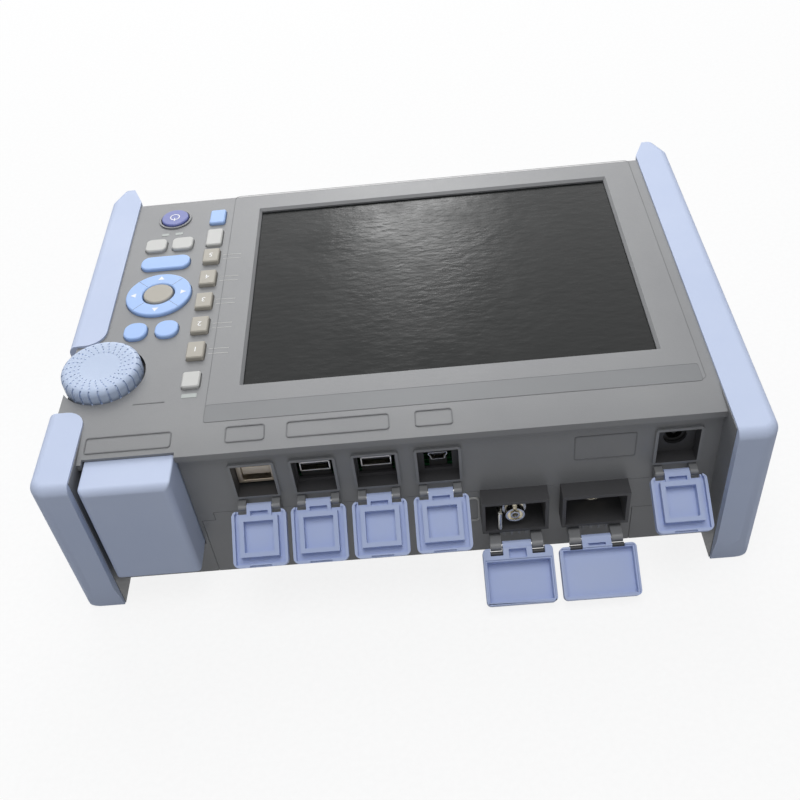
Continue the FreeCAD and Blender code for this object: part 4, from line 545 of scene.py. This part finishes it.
def plate(name, centre_mm, size_mm, corner_mm, turn, height_mm, finish, body="case",
          line_mm=None):
    """A thin rounded plate, or only its outline where a line width is given."""
    ready()
    bpy.ops.mesh.primitive_plane_add(size=1.0, location=Vector(centre_mm) * MM, rotation=turn)
    piece = bpy.context.object
    piece.scale = (size_mm[0] * MM, size_mm[1] * MM, 1)
    bpy.ops.object.transform_apply(location=False, rotation=False, scale=True)
    bpy.ops.object.mode_set(mode="EDIT")
    bpy.ops.mesh.select_all(action="SELECT")
    if corner_mm:
        bpy.ops.mesh.bevel(offset=corner_mm * MM, segments=5, affect="VERTICES")
    if line_mm:
        bpy.ops.mesh.select_all(action="SELECT")
        bpy.ops.mesh.inset(thickness=line_mm * MM, use_even_offset=True)
        bpy.ops.mesh.delete(type="FACE")
    bpy.ops.object.mode_set(mode="OBJECT")
    thicken(piece, height_mm)
    return take_up(piece, name, finish, body)


def band_height(y_mm):
    """Height of the sloping band above the connectors, from its crease at the flat front."""
    return FRONT / MM - max(0.0, BAND_CREASE - y_mm) * math.tan(BAND_TILT)


# Painted shade: the bezel line, the nameplate line and the label frames wear the darker line grey, for the
# shadow along their raised edges.
plate("display_bezel_line", (22.5, 9.0, FRONT / MM), (201, 164), 2.5, LEVEL, 0.08, ABS_LINE, line_mm=0.3)
plate("nameplate_field", (21.8, -68.6, FRONT / MM), (198.7, 9.7), 1.0, LEVEL, 0.1, LABEL_FILM)
plate("nameplate_line", (21.8, -68.6, FRONT / MM), (199.3, 10.3), 1.2, LEVEL, 0.13, ABS_LINE, line_mm=0.3)
for number, (x, width) in enumerate(((-107.5, 35), (-60.5, 16), (-23.5, 41), (14.5, 15)), start=1):
    plate(f"port_label_frame_{number}", (x, LABEL_ROW, band_height(LABEL_ROW)), (width, 8.2), 1.4,
          ON_BAND, 0.3, ABS_LINE, line_mm=0.5)
plate("power_label_frame", (81.6, PANEL / MM, 60.6), (24.7, 13.6), 1.0, UPRIGHT, 0.2, ABS_LINE, line_mm=0.4)
# Painted highlight: the pale outline stands for the light on the release frame's raised rim.
plate("unit_release_frame", (27.5, PANEL / MM, 28.5), (6.0, 15.0), 2.0, UPRIGHT, 0.5, ABS_PAINTED_HIGHLIGHT, line_mm=0.7)
plate("knob_bracket_line", (-101.9, -59.5, FRONT / MM), (13.2, 0.55), 0, LEVEL, 0.15, ABS_LINE)
# Painted highlight: pale strips stand for the light caught by the engraved guide lines by the soft keys.
for number, row in enumerate((38.9, 21.7, 4.5, -12.7, -29.9), start=1):
    for side in (-1.6, 1.6):
        plate(f"soft_key_guide_{number}_{'near' if side < 0 else 'far'}", (-75.6, row + side, FRONT / MM),
              (8.6, 0.3), 0, (0, 0, math.radians(-2)), 0.06, ABS_PAINTED_HIGHLIGHT)
print("lines and label frames are in place")

# %% [markdown]
# ## Marks on the keys
# The direction ring has four white arrow heads, pointing outwards, and fine grooves between its
# quarters, drawn as thin dark lines of painted shade.  The soft keys carry plain numbers, read from
# the far side of the instrument.  The power button sits in a raised ring and has the usual circle
# with a bar.

# %% Arrow heads, key numbers and the power mark
RING_CENTRE = Vector((-107.3, 12.4))
RING_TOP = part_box("direction_ring")[1][2] / MM
for name, angle in (("right", 0), ("far", 90), ("left", 180), ("near", 270)):
    ready()
    direction = Vector((math.cos(math.radians(angle)), math.sin(math.radians(angle))))
    spot = RING_CENTRE + 11.3 * direction
    bpy.ops.mesh.primitive_circle_add(vertices=3, radius=1.7 * MM, fill_type="NGON",
                                      location=Vector((*spot, RING_TOP)) * MM,
                                      rotation=(0, 0, math.radians(angle - 90)))
    arrow = bpy.context.object
    thicken(arrow, 0.06)
    take_up(arrow, "ring_arrow_" + name, INK_WHITE, BODY_OF["direction_ring"])
# Painted shade: a thin dark line stands for each groove between the ring's quarters.
for name, angle in (("far_left", 135), ("near_right", 315), ("far_right", 45), ("near_left", 225)):
    direction = Vector((math.cos(math.radians(angle)), math.sin(math.radians(angle))))
    spot = RING_CENTRE + 11.35 * direction
    plate("ring_groove_shade_" + name, (*spot, RING_TOP), (6.4, 0.16), 0, (0, 0, math.radians(angle)), 0.03,
          ABS_LINE, BODY_OF["direction_ring"])


def mark(name, text, centre_mm, height_mm, body):
    """A printed mark, turned so that it reads from the far side."""
    ready()
    bpy.ops.object.text_add(location=Vector(centre_mm) * MM, rotation=(0, 0, math.radians(180)))
    letters = bpy.context.object
    letters.data.body = text
    letters.data.size = height_mm * MM
    letters.data.align_x = "CENTER"
    letters.data.align_y = "CENTER"
    letters.data.extrude = 0.03 * MM
    bpy.ops.object.convert(target="MESH")
    return take_up(bpy.context.object, name, INK_WHITE, body)


for number in range(1, 6):
    low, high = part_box(f"key_f{number}")
    centre = [(one + other) / 2 / MM for one, other in zip(low, high)]
    mark(f"soft_key_number_{number}", str(number), (centre[0], centre[1], high[2] / MM + 0.02), 4.2,
         BODY_OF[f"key_f{number}"])

POWER_CENTRE = (-107.3, 74.8)


def ring(name, centre_mm, radius_mm, line_mm, height_mm, finish, body, vertices=64):
    """A flat ring with a raised height."""
    ready()
    bpy.ops.mesh.primitive_circle_add(vertices=vertices, radius=radius_mm * MM, fill_type="NGON",
                                      location=Vector(centre_mm) * MM)
    piece = bpy.context.object
    bpy.ops.object.mode_set(mode="EDIT")
    bpy.ops.mesh.select_all(action="SELECT")
    bpy.ops.mesh.inset(thickness=line_mm * MM)
    bpy.ops.mesh.delete(type="FACE")
    bpy.ops.object.mode_set(mode="OBJECT")
    thicken(piece, height_mm)
    soften(piece, min(line_mm, height_mm) * 0.3)
    return take_up(piece, name, finish, body)


ring("power_button_collar", (*POWER_CENTRE, FRONT / MM), 8.3, 1.1, 0.7, ABS_CASE, "case")
POWER_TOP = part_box("power_button")[1][2] / MM
ring("power_mark_circle", (*POWER_CENTRE, POWER_TOP), 2.5, 0.5, 0.05, INK_WHITE, BODY_OF["power_button"])
plate("power_mark_bar", (POWER_CENTRE[0], POWER_CENTRE[1] - 2.1, POWER_TOP), (0.5, 2.6), 0, LEVEL, 0.07,
      INK_WHITE, BODY_OF["power_button"])
print("marks on the ring, the soft keys and the power button")

# %% [markdown]
# ## The rotary knob
# The knob is a thick disc with a rounded shoulder, a grip of notches round its rim and slanted rows
# of shallow dimples on its face.  It grows from one circle: the rim is extruded outwards ring by
# ring, over the shoulder and down the side.  Then chosen faces are inset and pushed in.

# %% Knob
def build_knob(notches=26, per_notch=5, face_rings=8):
    low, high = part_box("jog_knob")
    centre = (Vector(low) + Vector(high)) / 2
    radius = (high[0] - low[0]) / 2
    top = high[2]
    dish = 0.35 * MM
    shoulder = 2.4 * MM
    smooth = radius * 0.46
    ring_width = (radius - shoulder - smooth) / face_rings
    columns = notches * per_notch
    ready()
    bpy.ops.mesh.primitive_circle_add(vertices=columns, radius=smooth, fill_type="NGON",
                                      location=(centre.x, centre.y, top - dish))
    knob = bpy.context.object
    knob.name = "jog_knob_new"
    bpy.ops.object.transform_apply(location=True)
    face_steps = [(smooth + ring_width * step, top - dish * (1 - step / face_rings) ** 2)
                  for step in range(1, face_rings + 1)]
    shoulder_steps = [(radius - shoulder + shoulder * math.sin(math.radians(angle)),
                       top - shoulder + shoulder * math.cos(math.radians(angle)))
                      for angle in (22, 45, 68, 90)]
    side_steps = [(radius, low[2] + 1.6 * MM), (radius, low[2] + 0.8 * MM), (radius - 0.5 * MM, low[2]),
                  (7 * MM, low[2])]
    bpy.ops.object.mode_set(mode="EDIT")
    bpy.ops.mesh.select_mode(type="EDGE")
    bpy.ops.mesh.select_all(action="SELECT")
    current, height = smooth, top - dish
    for step_radius, step_height in face_steps + shoulder_steps + side_steps:
        bpy.ops.mesh.extrude_edges_move(TRANSFORM_OT_translate={"value": (0, 0, step_height - height)})
        scale = step_radius / current
        bpy.ops.transform.resize(value=(scale, scale, 1), center_override=(centre.x, centre.y, step_height))
        current, height = step_radius, step_height
    bpy.ops.mesh.edge_face_add()
    bpy.ops.mesh.select_all(action="SELECT")
    bpy.ops.mesh.normals_make_consistent(inside=False)
    bpy.ops.mesh.select_mode(type="FACE")

    def choose(test):
        """Select the four-sided faces that a test of radius, column and height chooses."""
        bpy.ops.mesh.select_all(action="DESELECT")
        shape = bmesh.from_edit_mesh(knob.data)
        count = 0
        for face in shape.faces:
            middle = face.calc_center_median() - centre
            turn = math.degrees(math.atan2(middle.y, middle.x)) % 360
            column = math.floor(turn * columns / 360 + 0.25)
            reach = math.hypot(middle.x, middle.y)
            face.select = len(face.verts) == 4 and test(reach, column, middle.z + centre.z)
            count += face.select
        bmesh.update_edit_mesh(knob.data)
        return count

    def notched(reach, column, height):
        return (reach > radius - shoulder * 0.75 and height > low[2] + 1.6 * MM
                and column % per_notch == 0)

    def dimpled(reach, column, height):
        ring_number = round((reach - smooth) / ring_width - 0.5)
        on_face = reach < radius - shoulder and height > top - 1 * MM
        in_slanted_row = column % per_notch == (2 + ring_number // 2) % per_notch
        return on_face and ring_number in (1, 3, 5, 7) and in_slanted_row

    cuts = choose(notched)
    bpy.ops.mesh.inset(thickness=0.06 * MM, depth=-0.8 * MM)
    dimples = choose(dimpled)
    bpy.ops.mesh.inset(thickness=0.06 * MM, depth=-0.35 * MM, use_individual=True)
    bpy.ops.object.mode_set(mode="OBJECT")
    bpy.ops.object.shade_smooth_by_angle(angle=math.radians(40))
    take_up(knob, "jog_knob_finished", KNOB_PLASTIC, BODY_OF["jog_knob"])
    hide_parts("jog_knob")
    print("knob with", notches, "notches of", cuts, "faces and", dimples, "dimples")


build_knob()

# %% [markdown]
# ## Sockets
# Each socket is a folded metal shell round a black moulded insert.  The shell starts as a plane that
# faces the user, its corners are rounded, an inset leaves the sheet's thickness, and the ring is
# drawn back into the instrument.  The insert is a smaller block behind it, with its tongue and its
# contacts.  The network socket keeps its solid shell, and gets contacts, a back and a shutter.

# %% Socket shells and inserts
def tube_shell(name, outline_mm, sheet_mm, front_y, depth_mm, finish, body):
    """A folded shell: an outline that looks along -Y, inset and drawn back."""
    ready()
    shape = bpy.data.meshes.new(name)
    shape.from_pydata([(x * MM, front_y, z * MM) for x, z in outline_mm], [], [tuple(range(len(outline_mm)))])
    piece = bpy.data.objects.new(name, shape)
    scene.collection.objects.link(piece)
    bpy.context.view_layer.objects.active = piece
    piece.select_set(True)
    bpy.ops.object.mode_set(mode="EDIT")
    bpy.ops.mesh.select_all(action="SELECT")
    bpy.ops.mesh.bevel(offset=0.45 * MM, segments=3, affect="VERTICES")
    bpy.ops.mesh.select_all(action="SELECT")
    bpy.ops.mesh.inset(thickness=sheet_mm * MM, use_even_offset=True)
    bpy.ops.mesh.delete(type="FACE")
    bpy.ops.mesh.select_all(action="SELECT")
    bpy.ops.mesh.extrude_region_move(TRANSFORM_OT_translate={"value": (0, depth_mm * MM, 0)})
    bpy.ops.mesh.select_all(action="SELECT")
    bpy.ops.mesh.normals_make_consistent(inside=False)
    bpy.ops.object.mode_set(mode="OBJECT")
    bpy.ops.object.shade_smooth_by_angle(angle=math.radians(35))
    return take_up(piece, name, finish, body)


def insert_block(name, low_mm, high_mm, radius_mm, finish):
    """A moulded block between two corners, with softened edges."""
    ready()
    centre = [(one + other) / 2 * MM for one, other in zip(low_mm, high_mm)]
    bpy.ops.mesh.primitive_cube_add(size=1.0, location=centre)
    piece = bpy.context.object
    piece.scale = [(other - one) * MM for one, other in zip(low_mm, high_mm)]
    bpy.ops.object.transform_apply(location=False, rotation=False, scale=True)
    soften(piece, radius_mm)
    return take_up(piece, name, finish, "case")


def build_host_socket(number):
    low, high = [[value / MM for value in corner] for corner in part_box(f"usb_a_jack_{number}")]
    middle = (low[0] + high[0]) / 2
    shell_height, contact_pitch = 5.8, 2.3
    base = high[2] - shell_height
    outline = [(low[0], base), (high[0], base), (high[0], high[2]), (low[0], high[2])]
    shell = tube_shell(f"host_socket_shell_{number}", outline, 0.4, low[1] * MM, high[1] - low[1], TIN_SHEET,
                       "case")
    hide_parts(f"usb_a_jack_{number}")
    # Painted highlight: a brighter tin ring over the front edge of the shell.
    tube_shell(f"host_socket_highlight_lip_{number}", outline, 0.85, low[1] * MM, 0.3, TIN_PAINTED_HIGHLIGHT, "case")
    insert_block(f"host_socket_back_{number}", (low[0] + 0.5, low[1] + 8.5, base + 0.5),
                 (high[0] - 0.5, high[1] - 0.2, high[2] - 0.5), 0.2, NYLON_BLACK)
    insert_block(f"host_socket_tongue_{number}", (low[0] + 1.2, low[1] + 0.7, base + 3.2),
                 (high[0] - 1.2, low[1] + 8.6, base + 4.9), 0.2, NYLON_BLACK)
    insert_block(f"host_socket_base_{number}", (low[0] + 0.2, low[1] + 1.0, low[2]),
                 (high[0] - 0.2, high[1] - 0.2, base), 0.2, NYLON_BLACK)
    for contact in range(4):
        x = middle + (contact - 1.5) * contact_pitch
        insert_block(f"host_socket_contact_{number}_{contact + 1}", (x - 0.4, low[1] + 1.4, base + 3.05),
                     (x + 0.4, low[1] + 8.4, base + 3.25), 0.05, NICKEL)


for number in (1, 2):
    build_host_socket(number)


def build_device_socket():
    low, high = [[value / MM for value in corner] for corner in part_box("usb_mini_jack")]
    shell_height = 4.0
    base = high[2] - shell_height
    outline = [(low[0] + 1.0, base), (high[0] - 1.0, base), (high[0] - 0.9, base + 1.6),
               (high[0], base + 2.6), (high[0], high[2]), (low[0], high[2]), (low[0], base + 2.6),
               (low[0] + 0.9, base + 1.6)]
    shell = tube_shell("device_socket_shell", outline, 0.35, low[1] * MM, high[1] - low[1], TIN_SHEET,
                       "case")
    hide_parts("usb_mini_jack")
    insert_block("device_socket_back", (low[0] + 1.5, low[1] + 8.0, base + 0.5),
                 (high[0] - 1.5, high[1] - 0.2, high[2] - 0.5), 0.2, NYLON_BLACK)
    insert_block("device_socket_tongue", (low[0] + 1.6, low[1] + 0.8, base + 1.8),
                 (high[0] - 1.6, low[1] + 8.1, base + 2.6), 0.15, NYLON_BLACK)
    insert_block("device_socket_base", (low[0] + 0.2, low[1] + 1.0, low[2]),
                 (high[0] - 0.2, high[1] - 0.2, base), 0.2, NYLON_BLACK)


build_device_socket()
print("host and device sockets")


def build_network_socket():
    """The contacts, the back and the shutter of the network socket."""
    finished_copy("lan_jack", 0.25)
    low, high = [[value / MM for value in corner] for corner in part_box("lan_jack")]
    middle = (low[0] + high[0]) / 2
    contact_pitch, half_back = 1.02, 5.7
    floor_z = low[2] + 1.5
    for number in range(8):
        x = middle + (number - 3.5) * contact_pitch
        insert_block(f"network_contact_{number + 1}", (x - 0.2, low[1] + 1.5, floor_z + 6.9),
                     (x + 0.2, low[1] + 8.3, floor_z + 7.2), 0.05, NICKEL)
    insert_block("network_socket_back", (middle - half_back, low[1] + 7.9, floor_z + 0.1),
                 (middle + half_back, low[1] + 8.4, floor_z + 7.8), 0.1, NYLON_BLACK)
    insert_block("network_socket_shutter", (middle - half_back, low[1] + 1.0, floor_z + 2.4),
                 (middle + half_back, low[1] + 1.3, floor_z + 6.6), 0.1, TIN_WARM)


build_network_socket()
print("network socket")

# %% [markdown]
# ## The optical adapters
# A nickel-plated barrel carries a fine thread, a wider collar and a white ceramic sleeve that lines
# up the fibre.  Beside the first one stands a bent steel rod.  The rod is one circle that is
# extruded upwards, spun through a quarter turn and extruded back to the flange.  Ribs run under each
# shroud, and a dark bar lies in each notch of the large covers and turns with its cover.

# %% Adapters
def cylinder(name, centre_mm, radius_mm, length_mm, finish, axis_turn=UPRIGHT, vertices=48, edge_mm=0.1,
             bore_mm=None):
    """A turned piece, with its two rims bevelled, and a bore through it where one is given."""
    ready()
    bpy.ops.mesh.primitive_cylinder_add(vertices=vertices, radius=radius_mm * MM, depth=length_mm * MM,
                                        location=Vector(centre_mm) * MM, rotation=axis_turn)
    piece = bpy.context.object
    if bore_mm:
        bpy.ops.object.mode_set(mode="EDIT")
        bpy.ops.mesh.select_all(action="DESELECT")
        bpy.ops.mesh.select_mode(type="FACE")
        shape = bmesh.from_edit_mesh(piece.data)
        for face in shape.faces:
            face.select = len(face.verts) > 4
        bmesh.update_edit_mesh(piece.data)
        bpy.ops.mesh.inset(thickness=(radius_mm - bore_mm) * MM, use_individual=True)
        bpy.ops.mesh.bridge_edge_loops()
        bpy.ops.object.mode_set(mode="OBJECT")
    soften(piece, edge_mm)
    return take_up(piece, name, finish, "case")


def build_adapter(number, thread_rings):
    node = f"optical_adapter_{number}"
    finished_copy(node, 0.12)
    low, high = [[value / MM for value in corner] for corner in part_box(node)]
    centre = [(low[0] + high[0]) / 2, (low[1] + high[1]) / 2, (low[2] + high[2]) / 2]
    cylinder(f"adapter_sleeve_{number}", (centre[0], low[1] + 3.9, centre[2]), 1.85, 7.4, INK_WHITE,
             bore_mm=1.27, edge_mm=0.08)
    cylinder(f"adapter_ferrule_{number}", (centre[0], low[1] + 5.4, centre[2]), 1.05, 4.0, INK_WHITE,
             edge_mm=0.25)
    for thread in range(thread_rings):
        cylinder(f"adapter_thread_{number}_{thread + 1}", (centre[0], low[1] + 6.6 + 0.6 * thread, centre[2]),
                 4.18, 0.3, NICKEL, bore_mm=3.9, edge_mm=0.1)
    seat, screw_offset = PANEL / MM + 5.5, 4.55
    for side in (-1, 1):
        cylinder(f"adapter_screw_{number}_{'left' if side < 0 else 'right'}",
                 (centre[0] + side * screw_offset, seat - 1.55, centre[2] + side * screw_offset), 1.5, 0.7,
                 NICKEL, vertices=24, edge_mm=0.2)


build_adapter(1, 6)
build_adapter(2, 2)


def build_bent_rod():
    """The bent rod beside the first adapter."""
    x, y, foot, bend_height, bend = 38.5, -94.6, 23.2, 33.0, 1.6
    ready()
    bpy.ops.mesh.primitive_circle_add(vertices=20, radius=0.95 * MM, fill_type="NGON",
                                      location=Vector((x, y, foot)) * MM)
    rod = bpy.context.object
    bpy.ops.object.transform_apply(location=True)
    bpy.ops.object.mode_set(mode="EDIT")
    bpy.ops.mesh.select_all(action="SELECT")
    bpy.ops.mesh.extrude_region_move(TRANSFORM_OT_translate={"value": (0, 0, (bend_height - foot) * MM)})
    bpy.ops.mesh.spin(steps=8, angle=math.radians(-90), center=Vector((x, y + bend, bend_height)) * MM,
                      axis=(1, 0, 0))
    bpy.ops.mesh.extrude_region_move(TRANSFORM_OT_translate={"value": (0, 8.0 * MM, 0)})
    bpy.ops.mesh.select_all(action="SELECT")
    bpy.ops.mesh.remove_doubles(threshold=0.001 * MM)
    bpy.ops.mesh.normals_make_consistent(inside=False)
    bpy.ops.object.mode_set(mode="OBJECT")
    bpy.ops.object.shade_smooth_by_angle(angle=math.radians(40))
    take_up(rod, "adapter_bent_rod", STEEL_PIN, "case")


build_bent_rod()


def build_hinge_details(number):
    """The ribs under a shroud, and the dark bar in each notch of the large cover."""
    low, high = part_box(f"optical_adapter_{number}")
    middle = (low[0] + high[0]) / 2 / MM
    hinge_y, hinge_z = PANEL / MM - 11.5, 16.7
    rib_pitch, bar_reach, bar_offset = 3.2, 3.35, 8.75
    # Painted highlight: the ribs wear the lighter case grey, for the light on their fronts under the dark
    # shroud.
    for rib in range(4):
        x = middle + (rib - 1.5) * rib_pitch
        insert_block(f"shroud_rib_{number}_{rib + 1}", (x - 0.45, hinge_y + 3.6, 18.9),
                     (x + 0.45, hinge_y + 9.0, 21.2), 0.1, ABS_CASE)
    opening = math.radians(120.5)
    bar_y = hinge_y - bar_reach * math.sin(opening)
    bar_z = hinge_z + bar_reach * math.cos(opening)
    for side in (-1, 1):
        bar = cylinder(f"hinge_bar_{number}_{'left' if side < 0 else 'right'}",
                       (middle + side * bar_offset, bar_y, bar_z), 1.0, 5.3, ABS_DARK,
                       axis_turn=(0, math.radians(90), 0), vertices=20)
        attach(bar, BODY_OF[f"cover_optical_{number}"])


for number in (1, 2):
    build_hinge_details(number)
print("optical adapters and their hinges")

# %% [markdown]
# ## The last step
# The view layer is updated once more, so that the places of all pieces are current.

# %% Update the view layer
bpy.context.view_layer.update()
